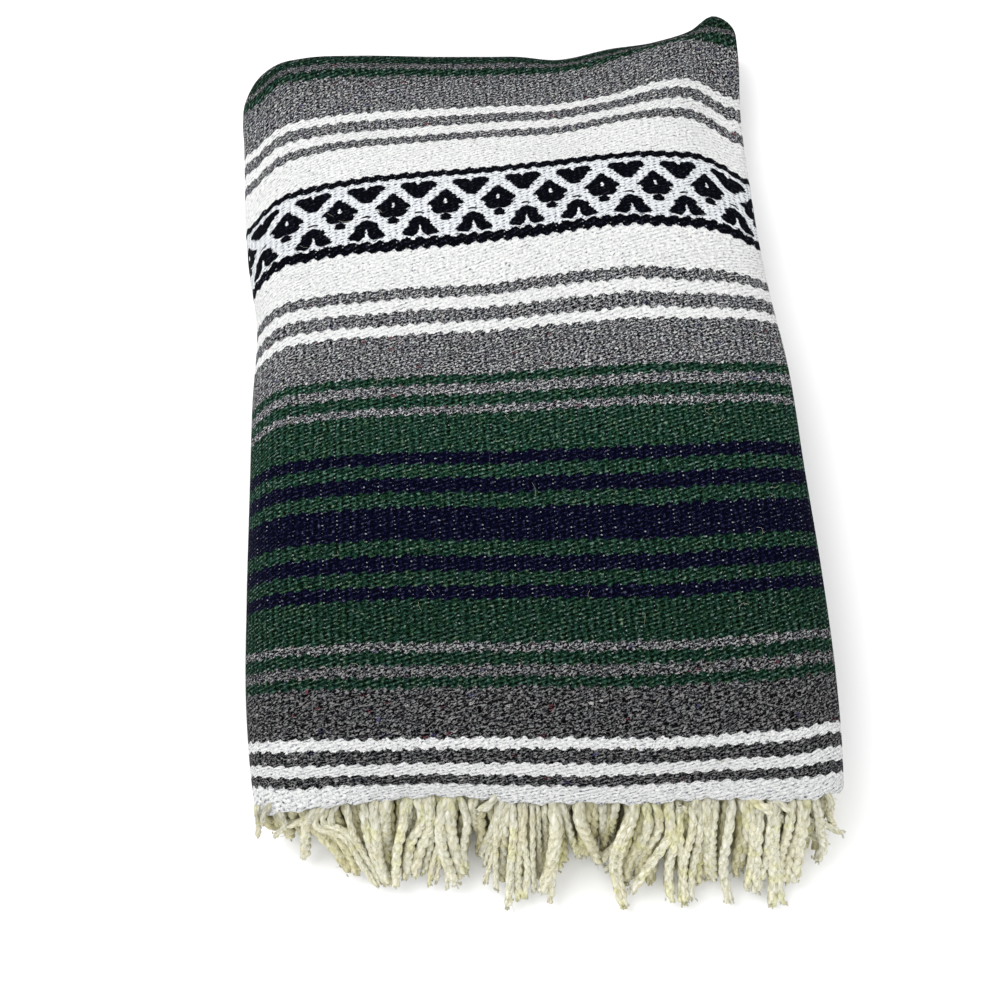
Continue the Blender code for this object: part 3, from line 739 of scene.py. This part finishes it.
# Profiles of a layer's edge: share of the way through the layer, and share of the groove's depth.
EDGE_PROFILE = (
    (0.06, 0.55), (0.16, 0.22), (0.32, 0.05), (0.50, 0.0), (0.68, 0.05), (0.84, 0.22), (0.94, 0.55),
    (1.0, 1.0),
)
NEAR_GROOVE = 0.0035
FAR_BACK = 0.0060
SELVEDGE_STEPS = (0.0000, -0.0022, 0.0008, -0.0014, 0.0012, -0.0030, -0.0004)
SELVEDGE_GROOVE = 0.0024
SELVEDGE_PROFILE = ((0.0, 1.0), (0.12, 0.4), (0.3, 0.08), (0.5, 0.0), (0.7, 0.08), (0.88, 0.4))
SELVEDGE_MAP = (0.0, 0.0021, -0.0017, 0.0030, -0.0008, 0.0014, -0.0026)  # how far their stripes are off
END_SLANT = 0.1
CORE_RINGS = 110
RING_STEP = 0.0001  # along, between rings that only change in depth
LAYERED = 2 * CORE_FLAT + CORE_FOLD - 2  # points of a ring that show layered edges
HEM_WARP = 0.003  # place along the warp of the near end's plain middle
FAR_WARP = 0.470  # and of the far layers' first ring
FAR_WARP_STEP = 0.0012
FAR_WARP_END = 0.480
FAR_OUT = 0.002  # how far the far end's middle stands out
END_STRETCH = 0.15  # how much of the map's change along a ring its layered end keeps


def selvedge_side(depth):
    """(across, up) down the stacked selvedges at the lower right, from the middle to the underside."""
    top = MIDDLE - GAP
    count = len(SELVEDGE_STEPS)
    points = []
    for i, step in enumerate(SELVEDGE_STEPS):
        for share, groove in SELVEDGE_PROFILE:
            out = SELVEDGE - CLOTH + step - SELVEDGE_GROOVE * groove
            points.append((out, top + (depth - top) * (i + share) / count))
    return np.array(points)


def core_path(depth):
    """The closed path round the hidden layers along the pile's barrel."""
    inner = HALF - RIGHT_FOLD - GAP
    start = SELVEDGE - CLOTH - SELVEDGE_GROOVE
    notch = np.array([(inner, MIDDLE + depth), (inner, MIDDLE - GAP)])
    first = round_left(depth, start, HALF - RIGHT_FOLD, CORE_FLAT, CORE_FOLD)
    return np.concatenate([first, round_right(depth, CORE_RIGHT)[1:], notch, selvedge_side(depth)])


def end_path(depth):
    """The same path in a layered end of the pile, with plain steps at its right."""
    slant = END_SLANT * depth
    inner = HALF - RIGHT_FOLD - GAP - slant
    start = SELVEDGE - CLOTH - SELVEDGE_GROOVE - slant
    step = MIDDLE - GAP
    heights = np.linspace(PILE_HEIGHT - depth, MIDDLE + GAP / 2, CORE_RIGHT + 1)[1:]
    upright = np.stack([np.full(CORE_RIGHT, inner), heights], axis=1)
    count = len(SELVEDGE_STEPS) * len(SELVEDGE_PROFILE)
    low = np.stack([np.full(count, start), np.linspace(step, depth, count + 1)[:-1]], axis=1)
    first = round_left(depth, start, inner, CORE_FLAT, CORE_FOLD)
    return np.concatenate([first, upright, [(inner, step)], low])


def end_ring(along, depth, level):
    """A ring in a layered end: its layered points lie at the layer's edge, and the others at a level."""
    path = end_path(depth)
    alongs = np.full(len(path), level)
    alongs[1:LAYERED - 1] = along
    return settle(path[:, 0], alongs, path[:, 1])


def make_folded_layers(material):
    """The hidden layers: rounded folds, stacked selvedges and layered ends."""
    near = []
    depth = LAYER
    for count, back, warp in zip(*NEAR_EDGES.values()):
        thick = count * LAYER
        near += [(back + NEAR_GROOVE * groove, depth + thick * share, warp) for share, groove in EDGE_PROFILE]
        depth += thick
    first = NEAR_EDGES["back"][0] + NEAR_GROOVE
    last = PILE_LENGTH - FAR_FOLD - FAR_BACK
    centre = MIDDLE - 3 * GAP
    inner_up = (2 * FAR_DEPTH + centre) / 2
    inner = arc((last, inner_up), FAR_FOLD, MIDDLE - 4 * GAP - inner_up, 270, 450, CORE_FAR)
    far = np.concatenate([far_fold(CORE, CORE_FAR), inner])

    # Rings from the middle of the near end, out over its edges, along the barrel and in over the far folds.
    near_level = first - RING_STEP * len(near)
    rings = [end_ring(near_level, centre, near_level)]
    warps = [HEM_WARP]
    for i, (along, depth, warp) in enumerate(near[-2::-1]):
        rings.append(end_ring(along, depth, near_level + RING_STEP * (i + 1)))
        warps.append(warp)
    path = core_path(CORE)
    for along in np.linspace(first, last, CORE_RINGS):
        rings.append(settle(path[:, 0], along, path[:, 1]))
        warps.append(None)
    for i, (along, depth) in enumerate(far):
        rings.append(end_ring(along, depth, last + RING_STEP * (i + 2)))
        warps.append(FAR_WARP + FAR_WARP_STEP * i)
    rings.append(end_ring(last + FAR_OUT, centre, last + FAR_OUT))
    warps.append(FAR_WARP_END)

    points = np.array(rings)
    rows, columns = points.shape[:2]
    maps = map_cloth(points, CORE_FLAT, CORE_FOLD, np.zeros(rows))
    for k, warp in enumerate(warps):
        if warp is not None:
            maps[k, :, 1] = warp + END_STRETCH * (maps[k, :, 1] - maps[k, LAYERED // 2, 1])
    maps[:, -len(SELVEDGE_MAP) * len(SELVEDGE_PROFILE):, 1] += np.repeat(SELVEDGE_MAP, len(SELVEDGE_PROFILE))
    faces = grid_faces(rows, columns, closed_columns=True)
    for base in (0, (rows - 1) * columns):
        faces.append([base + i for i in range(columns)])
    return mesh_piece("cloth_layers", points.reshape(-1, 3), faces, maps.reshape(-1, 2), material)


# The top row's strands: width in mm, how many yarns lie under, and points (across, out from the hem) in mm.
STRANDS = (
    (2.7, 0, (-152, 0), (-153, 5), (-159, 13)),
    (2.7, 1, (-145, 0), (-149, 2), (-151, 6)),
    (2.7, 1, (-142, 0), (-139, 5), (-151, 15)),
    (4.9, 1, (-118, 0), (-127, 8), (-132, 18), (-136, 28)),
    (3.8, 3, (-115, 0), (-121, 4), (-130, 7), (-139, 8)),
    (3.3, 1, (-114, 0), (-122, 9), (-108, 17), (-102, 34), (-96, 46)),
    (3.3, 1, (-111, 0), (-118, 8), (-107, 14), (-99, 30), (-94, 45)),
    (3.3, 1, (-108, 0), (-114, 8), (-103, 20), (-97, 34), (-92, 43)),
    (3.3, 2, (-105, 0), (-104, 12), (-101, 25), (-96, 42)),
    (4.4, 2, (-96, 1), (-96, 15), (-95, 31), (-92, 45)),
    (6.0, 1, (-90, 1), (-92, 19), (-93, 34), (-90, 47)),
    (6.6, 2, (-83, 1), (-87, 16), (-88, 28), (-89, 34)),
    (4.4, 3, (-74, 1), (-76, 13), (-82, 29), (-86, 49)),
    (3.3, 3, (-71, 1), (-74, 14), (-80, 29)),
    (4.9, 3, (-70, 1), (-66, 12), (-74, 24), (-80, 44)),
    (4.9, 4, (-64, 2), (-62, 13), (-70, 29), (-76, 43)),
    (3.8, 2, (-61, 2), (-61, 15), (-65, 29), (-70, 42)),
    (2.7, 1, (-54, 2), (-60, 26), (-65, 38), (-68, 48)),
    (2.7, 1, (-52, 2), (-59, 28), (-62, 40), (-64, 47)),
    (2.7, 1, (-51, 2), (-57, 32), (-57, 42), (-58, 50)),
    (4.9, 3, (-51, 1), (-57, 12), (-58, 24), (-53, 48)),
    (5.5, 2, (-50, 2), (-52, 16), (-51, 32), (-49, 44)),
    (3.8, 2, (-47, 2), (-43, 13), (-47, 29), (-47, 42)),
    (4.4, 2, (-37, 3), (-40, 9), (-38, 18), (-37, 24)),
    (2.7, 2, (-26, 22), (-30, 36), (-31, 50)),
    (3.8, 4, (-25, 2), (-31, 3), (-36, 5)),
    (4.4, 3, (-22, 2), (-28, 12), (-35, 25), (-38, 31)),
    (3.3, 3, (-21, 3), (-28, 18), (-33, 28), (-36, 36)),
    (2.7, 2, (-21, 3), (-26, 17), (-32, 32), (-37, 45)),
    (4.4, 3, (-20, 3), (-23, 14), (-25, 27), (-28, 40)),
    (3.8, 4, (-19, 3), (-19, 18), (-22, 35), (-25, 59)),
    (3.8, 2, (-14, 3), (-15, 16), (-18, 36), (-19, 54)),
    (3.3, 3, (-11, 3), (-14, 18), (-13, 38), (-16, 53)),
    (2.7, 3, (-8, 2), (-9, 16), (-10, 32), (-10, 49)),
    (2.7, 2, (-5, 2), (-6, 20), (-6, 39)),
    (3.3, 2, (-2, 2), (-2, 19), (-2, 31)),
    (5.5, 4, (2, 2), (3, 14), (0, 31), (-6, 49)),
    (3.8, 3, (5, 3), (4, 18), (1, 35), (-2, 54)),
    (3.8, 2, (6, 3), (11, 16), (14, 27)),
    (3.3, 2, (7, 9), (12, 20), (16, 32)),
    (5.5, 4, (16, 1), (16, 9), (22, 23), (27, 34)),
    (3.8, 1, (28, 2), (29, 13), (30, 25)),
    (3.8, 2, (36, 1), (34, 13), (35, 23)),
    (4.9, 4, (46, 1), (42, 13), (35, 25), (26, 32)),
    (3.8, 2, (47, 20), (33, 35), (35, 46), (38, 58)),
    (3.3, 2, (49, 22), (36, 37), (38, 48), (39, 57)),
    (4.4, 4, (50, 2), (51, 16), (41, 33), (30, 37)),
    (4.4, 3, (55, 2), (57, 17), (48, 30), (41, 38)),
    (4.4, 3, (62, 3), (62, 19), (52, 35), (43, 49)),
    (4.4, 3, (65, 3), (62, 9), (65, 20), (63, 35), (64, 55)),
    (3.8, 2, (68, 4), (68, 19), (70, 36), (70, 58)),
    (3.8, 3, (75, 4), (74, 17), (71, 33), (72, 57)),
    (3.3, 4, (77, 2), (74, 6), (68, 3)),
    (3.8, 2, (78, 5), (78, 21), (76, 36), (75, 55)),
    (4.9, 3, (82, 2), (82, 15), (84, 31), (87, 42)),
    (4.4, 2, (87, 2), (85, 17), (87, 33), (89, 45)),
    (4.4, 3, (96, 3), (93, 18), (92, 34), (96, 57)),
    (4.4, 5, (97, 2), (112, 6), (127, 15), (151, 28)),
    (4.9, 3, (100, 3), (104, 17), (105, 29), (101, 38)),
    (3.8, 2, (104, 3), (106, 17), (107, 34), (106, 50)),
    (4.4, 2, (110, 3), (109, 19), (110, 35), (111, 52)),
    (3.3, 6, (111, 1), (126, 8), (144, 15), (161, 24)),
    (4.4, 3, (116, 3), (115, 17), (115, 33), (112, 47)),
    (4.9, 2, (117, 16), (118, 31), (120, 44), (119, 59)),
    (3.8, 2, (119, 4), (118, 22), (122, 39), (125, 58)),
    (4.4, 3, (127, 7), (124, 20), (123, 32), (125, 45)),
    (2.7, 2, (131, 1), (134, 8), (141, 16)),
    (4.4, 3, (131, 8), (130, 21), (128, 32), (128, 43)),
    (5.5, 2, (134, 16), (132, 25), (133, 35), (132, 45)),
    (4.4, 2, (137, 9), (144, 19), (148, 28), (146, 36)),
    (2.7, 2, (137, 0), (140, 8), (146, 17)),
    (3.3, 4, (145, 0), (149, 9), (158, 19)),
)
TOP_LEVEL = 0.905  # where the top row leaves the pile, as a share of its height
TOP_TIP = 0.0042  # height of the tips that lie lowest
LIFT = 0.0011  # rise of a strand for each yarn under it
TOP_POINTS = 60  # points of a strand's path
LOW_POINTS = 40
ROOT_IN = 0.004  # how far behind the hem a strand of the top row starts, and one of the others
LOW_ROOT_IN = 0.005
THREE_PLY = 0.0056  # strands wider than this have three plies
PLY_SHARE = {2: 0.45, 3: 0.40}  # radius of a ply, as a share of the strand's width
TIP_FIBRES = 6
SIDE_FIBRES = 3
LOOSE_HAIRS = 70
FREE_YARN = 0.030  # map place of fibres and hairs along a strand, clear of its painted root shade

# The rows below: random strands gathered in locks, as on the solids.
ROWS = {
    "node":   ("fringe_hem_lower", "fringe_middle", "fringe_bottom"),
    "count":  (56, 46, 46),
    "first":  (-0.140, -0.154, -0.140),
    "last":   (0.146, 0.150, 0.152),
    "level":  (0.860, 0.500, 0.095),
    "back":   (0.0040, 0.0030, 0.0040),
    "tip_up": (0.0060, 0.0040, 0.0026),
    "reach":  (0.93, 0.86, 0.78),
    "gather": (0.80, 0.45, 0.45),
}
LOCKS = {
    "root":  (-0.152, -0.145, -0.135, -0.122, -0.107, -0.090, -0.077, -0.060, -0.045,
              -0.035, -0.020, -0.011, 0.006, 0.020, 0.035, 0.050, 0.063,
              0.072, 0.085, 0.094, 0.102, 0.113, 0.130, 0.145, 0.153),
    "tip":   (-0.1580, -0.1510, -0.1380, -0.1010, -0.0950, -0.0890, -0.0830, -0.0640, -0.0540,
              -0.0355, -0.0270, -0.0130, -0.0010, 0.0220, 0.0300, 0.0370, 0.0400,
              0.0660, 0.0765, 0.0890, 0.1030, 0.1135, 0.1240, 0.1390, 0.1540),
    "reach": (0.012, 0.012, 0.020, 0.042, 0.042, 0.042, 0.042, 0.044, 0.042,
              0.036, 0.052, 0.048, 0.046, 0.032, 0.030, 0.046, 0.052,
              0.052, 0.052, 0.046, 0.050, 0.046, 0.050, 0.038, 0.026),
}


def distances(path):
    """How far along a path its points lie."""
    return np.concatenate([[0], np.cumsum(np.linalg.norm(np.diff(path, axis=0), axis=1))])


def path_axes(path):
    """Directions ahead, sideways and upward at a path's points."""
    ahead = np.gradient(path, axis=0)
    ahead /= np.linalg.norm(ahead, axis=1, keepdims=True) + 1e-12
    side = np.cross(ahead, (0.0, 0.0, 1.0))
    side /= np.linalg.norm(side, axis=1, keepdims=True) + 1e-9
    return ahead, side, np.cross(side, ahead)


def tube(path, radius, sides, number=0, start=0.0):
    """Points, faces and map of a tube; the radius may vary along it, and the map starts at number, start."""
    _, side, up = path_axes(path)
    turn = np.linspace(0, 2 * math.pi, sides, endpoint=False)
    radius = np.broadcast_to(radius, len(path))
    ring = side[:, None] * np.cos(turn)[None, :, None] + up[:, None] * np.sin(turn)[None, :, None]
    points = (path[:, None] + ring * radius[:, None, None]).reshape(-1, 3)
    round_it = number + turn[None] / (2 * math.pi)
    maps = np.stack(np.broadcast_arrays(round_it, start + distances(path)[:, None]), axis=2).reshape(-1, 2)
    faces = grid_faces(len(path), sides, closed_columns=True)
    last = (len(path) - 1) * sides
    faces += [list(range(sides))[::-1], [last + i for i in range(sides)]]
    return points, faces, maps


class Bundle:
    """Collects tubes into one mesh."""

    def __init__(self):
        self.points = []
        self.faces = []
        self.maps = []
        self.count = 0

    def add(self, points, faces, maps):
        self.points.append(points)
        self.maps.append(maps)
        self.faces += [[v + self.count for v in face] for face in faces]
        self.count += len(points)

    def piece(self, name, material):
        return mesh_piece(name, np.concatenate(self.points), self.faces, np.concatenate(self.maps), material)


def drape(out, reach, top, tip_up):
    """Height of a strand at a way out from the hem: it falls softly from the hem and lies down."""
    fall = np.clip(reach * 1.2, 0.022, 0.060)
    return tip_up + (top - tip_up) * (1 + np.cos(math.pi * np.clip(out / fall, 0, 1))) / 2


def add_fibre(bundle, start, direction, length, curl, radius, number):
    """One loose fibre of a strand."""
    s = np.linspace(0, 1, 5)[:, None]
    path = start + direction / np.linalg.norm(direction) * length * s + curl * np.sin(s * math.pi)
    path[:, 2] = np.maximum(path[:, 2], 0.0004)
    bundle.add(*tube(path, radius, 4, 3 * number, FREE_YARN))


def add_strand(bundle, path, width, number):
    """Two or three plies twisted loosely round a path, fraying at the tip, with a few loose fibres."""
    plies = 3 if width > THREE_PLY else 2
    radius = width * PLY_SHARE[plies]
    way = distances(path)
    pitch = rng.uniform(0.012, 0.020)
    phase = rng.uniform(0, 2 * math.pi)
    ahead, side, up = path_axes(path)
    left = way[-1] - way
    fray = 1 + np.exp(-(left / 0.006) ** 2) * rng.uniform(0.1, 0.7)
    thin = 1 - 0.35 * np.exp(-(left / 0.0035) ** 2)
    for ply in range(plies):
        turn = phase + 2 * math.pi * (way / pitch + ply / plies)
        lumps = 1 + 0.04 * np.sin(way * rng.uniform(500, 900) + rng.uniform(0, 6))
        aside = side * np.cos(turn)[:, None] + up * np.sin(turn)[:, None]
        centre = path + aside * (radius * 0.42 * fray)[:, None]
        centre[:, 2] = np.maximum(centre[:, 2], radius * 1.02)
        stop = len(centre) - rng.integers(0, 3)
        bundle.add(*tube(centre[:stop], (radius * thin * lumps)[:stop], 8, 3 * number + ply))
    for _ in range(TIP_FIBRES):
        length = rng.uniform(0.0010, 0.0024)
        direction = rng.normal(0, 0.25, 3) + ahead[-1]
        curl = rng.normal(0, 0.0002, 3)
        start = path[-2] + (side[-2] * rng.normal() + up[-2] * rng.normal()) * radius * 0.6
        add_fibre(bundle, start, direction, length, curl, 0.00040, number)
    for _ in range(SIDE_FIBRES):
        start = path[rng.integers(6, len(path) - 3)]
        length = rng.uniform(0.003, 0.007)
        direction = rng.normal(0, 1, 3) * (1, 0.6, 0.35) + (0, -0.8, 0.1)
        add_fibre(bundle, start, direction, length, rng.normal(0, 0.0010, 3), 0.00010, number)


def make_top_row(material):
    """The row that shows, strand by strand."""
    bundle = Bundle()
    t = np.linspace(0, 1, TOP_POINTS)
    for number, (width, lift, *points) in enumerate(STRANDS):
        xs, outs = np.array(points).T / 1000
        root = settle(xs[0], 0.0, TOP_LEVEL * PILE_HEIGHT)
        outs[0] = -ROOT_IN
        stops = distances(np.stack([xs, outs], axis=1))
        x = smooth(t, stops / stops[-1], xs) - ORIGIN[0]
        out = smooth(t, stops / stops[-1], outs)
        z = drape(out, outs.max(), root[2], TOP_TIP) + lift * LIFT * ease(t * 3)
        add_strand(bundle, np.stack([x, root[1] - out, z], axis=1), width / 1000, number)
    return bundle.piece("yarn_fringe_hem_upper", material)


def make_fringe_row(row, material):
    """One hidden row of strands, hanging from its hem and lying out over the floor."""
    facts = {name: values[row] for name, values in ROWS.items()}
    roots = np.linspace(facts["first"], facts["last"], facts["count"])
    roots = roots + rng.uniform(-0.0012, 0.0012, len(roots))
    bundle = Bundle()
    lock_roots = np.array(LOCKS["root"])
    t = np.linspace(0, 1, LOW_POINTS)
    for number, root in enumerate(roots):
        lock = int(np.argmin(np.abs(lock_roots - root - rng.uniform(-0.003, 0.003))))
        tip = LOCKS["tip"][lock] + (root - lock_roots[lock]) * 0.45
        tip = root + (tip - root) * facts["gather"] + rng.normal(0, 0.0022)
        reach = max(LOCKS["reach"][lock] * facts["reach"] + rng.normal(0, 0.0035), 0.010)
        hem = settle(root, facts["back"], facts["level"] * PILE_HEIGHT)
        out = -LOW_ROOT_IN + (reach + LOW_ROOT_IN) * t
        z = drape(out, reach, hem[2], facts["tip_up"] * rng.uniform(0.75, 1.1))
        sway = rng.normal(0, 0.0011) * np.sin(t * math.pi * rng.uniform(1.2, 2.6) + rng.uniform(0, 6)) * t
        x = root + (tip - root) * ease(t * 0.92) + sway - ORIGIN[0]
        add_strand(bundle, np.stack([x, hem[1] - out, z], axis=1), rng.uniform(0.0042, 0.0054), number)
    return bundle.piece("yarn_" + facts["node"], material)


def make_hairs(material):
    """Loose hairs and lint on the top of the cloth."""
    bundle = Bundle()
    s = np.linspace(-0.5, 0.5, 7)
    for _ in range(LOOSE_HAIRS):
        x = rng.uniform(-0.135, 0.140)
        along = rng.uniform(0.015, PILE_LENGTH - 0.03)
        angle = rng.uniform(0, math.pi)
        length = rng.uniform(0.002, 0.008)
        run = length * s
        off = rng.normal(0, 0.9) * length * (s ** 2 - 0.1)
        path = settle(
            x + run * math.cos(angle) - off * math.sin(angle),
            along + run * math.sin(angle) + off * math.cos(angle), PILE_HEIGHT,
        )
        path[:, 2] += 0.0002 + 0.0009 * (0.25 - s ** 2) * rng.random()
        bundle.add(*tube(path, rng.uniform(0.00006, 0.00011), 3, 0, FREE_YARN))
    return bundle.piece("loose_hairs", material)


FLOOR_HALF = 2.0
FLOOR_LEVEL = -0.0002
CAMERA_DOWN = math.radians(75.9)
CAMERA_ROLL = math.radians(4.08)
CAMERA_PLACE = (-0.01369, -0.16998, 0.59371)  # from the middle of the level pile


def make_floor():
    """A pale floor."""
    mesh = bpy.data.meshes.new("floor")
    corners = [(x * FLOOR_HALF, y * FLOOR_HALF, FLOOR_LEVEL) for x, y in ((-1, -1), (1, -1), (1, 1), (-1, 1))]
    mesh.from_pydata(corners, [], [(0, 1, 2, 3)])
    material = bpy.data.materials.new("floor")
    material.use_nodes = True
    inputs = material.node_tree.nodes["Principled BSDF"].inputs
    inputs["Base Color"].default_value = (0.93, 0.93, 0.93, 1.0)
    inputs["Roughness"].default_value = 0.9
    mesh.materials.append(material)
    floor = bpy.data.objects.new("floor", mesh)
    bpy.context.scene.collection.objects.link(floor)


def put_in_place(thing, right, up, back, place):
    """Links a camera or a light into the scene, with its axes and its place."""
    matrix = Matrix.Identity(4)
    for column, axis in enumerate((right, up, back, place)):
        for line in range(3):
            matrix[line][column] = axis[line]
    thing.matrix_world = matrix
    bpy.context.scene.collection.objects.link(thing)


def make_camera():
    """The camera stands over the near edge, looking down and away, rolled a little."""
    ahead = np.array((0.0, math.cos(CAMERA_DOWN), -math.sin(CAMERA_DOWN)))
    right = np.array((1.0, 0.0, 0.0))
    up = np.cross(right, ahead)
    cos, sin = math.cos(CAMERA_ROLL), math.sin(CAMERA_ROLL)
    rolled = [axis * cos + np.cross(ahead, axis) * sin for axis in (right, up)]
    data = bpy.data.cameras.new("camera")
    data.lens = 36
    data.sensor_width = 36
    data.clip_start = 0.02
    camera = bpy.data.objects.new("camera", data)
    put_in_place(camera, *rolled, -ahead, CAMERA_PLACE - ORIGIN)
    bpy.context.scene.camera = camera


def make_light(name, place, size, power):
    """A round light that faces the pile."""
    data = bpy.data.lights.new(name, "AREA")
    data.shape = "DISK"
    data.size = size
    data.energy = power
    back = np.array(place) / np.linalg.norm(place)
    right = np.cross((0.0, 1.0, 0.0), back)
    right /= np.linalg.norm(right)
    put_in_place(bpy.data.objects.new(name, data), right, np.cross(back, right), back, place)


def make_world():
    """Even white light from all round."""
    world = bpy.data.worlds.new("world")
    world.use_nodes = True
    inputs = world.node_tree.nodes["Background"].inputs
    inputs["Color"].default_value = (1.0, 1.0, 1.0, 1.0)
    inputs["Strength"].default_value = 1.15
    bpy.context.scene.world = world


bpy.context.scene.view_settings.view_transform = "Standard"
make_camera()
make_world()
make_light("key", (-0.62, 0.38, 1.1), 0.8, 8.0)
make_floor()

cloth = cloth_material("serape_weave")
yarn = yarn_material("fringe_yarn", (1.0, 1.0, 1.0))
# The rows below: the same yarn with painted shade, darker and olive.
shaded_low_yarn = yarn_material("fringe_yarn_below_shaded", (0.93, 0.91, 0.78))
outer = make_outer_cloth(cloth)
layers = make_folded_layers(cloth)
fringe = {"fringe_hem_upper": make_top_row(yarn)}
for row, node in enumerate(ROWS["node"]):
    fringe[node] = make_fringe_row(row, shaded_low_yarn)
hairs = make_hairs(yarn)

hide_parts("outer_cloth")
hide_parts("folded_layers")
for node, piece in fringe.items():
    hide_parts(node)
for piece in (outer, layers, hairs, *fringe.values()):
    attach(piece, "root")
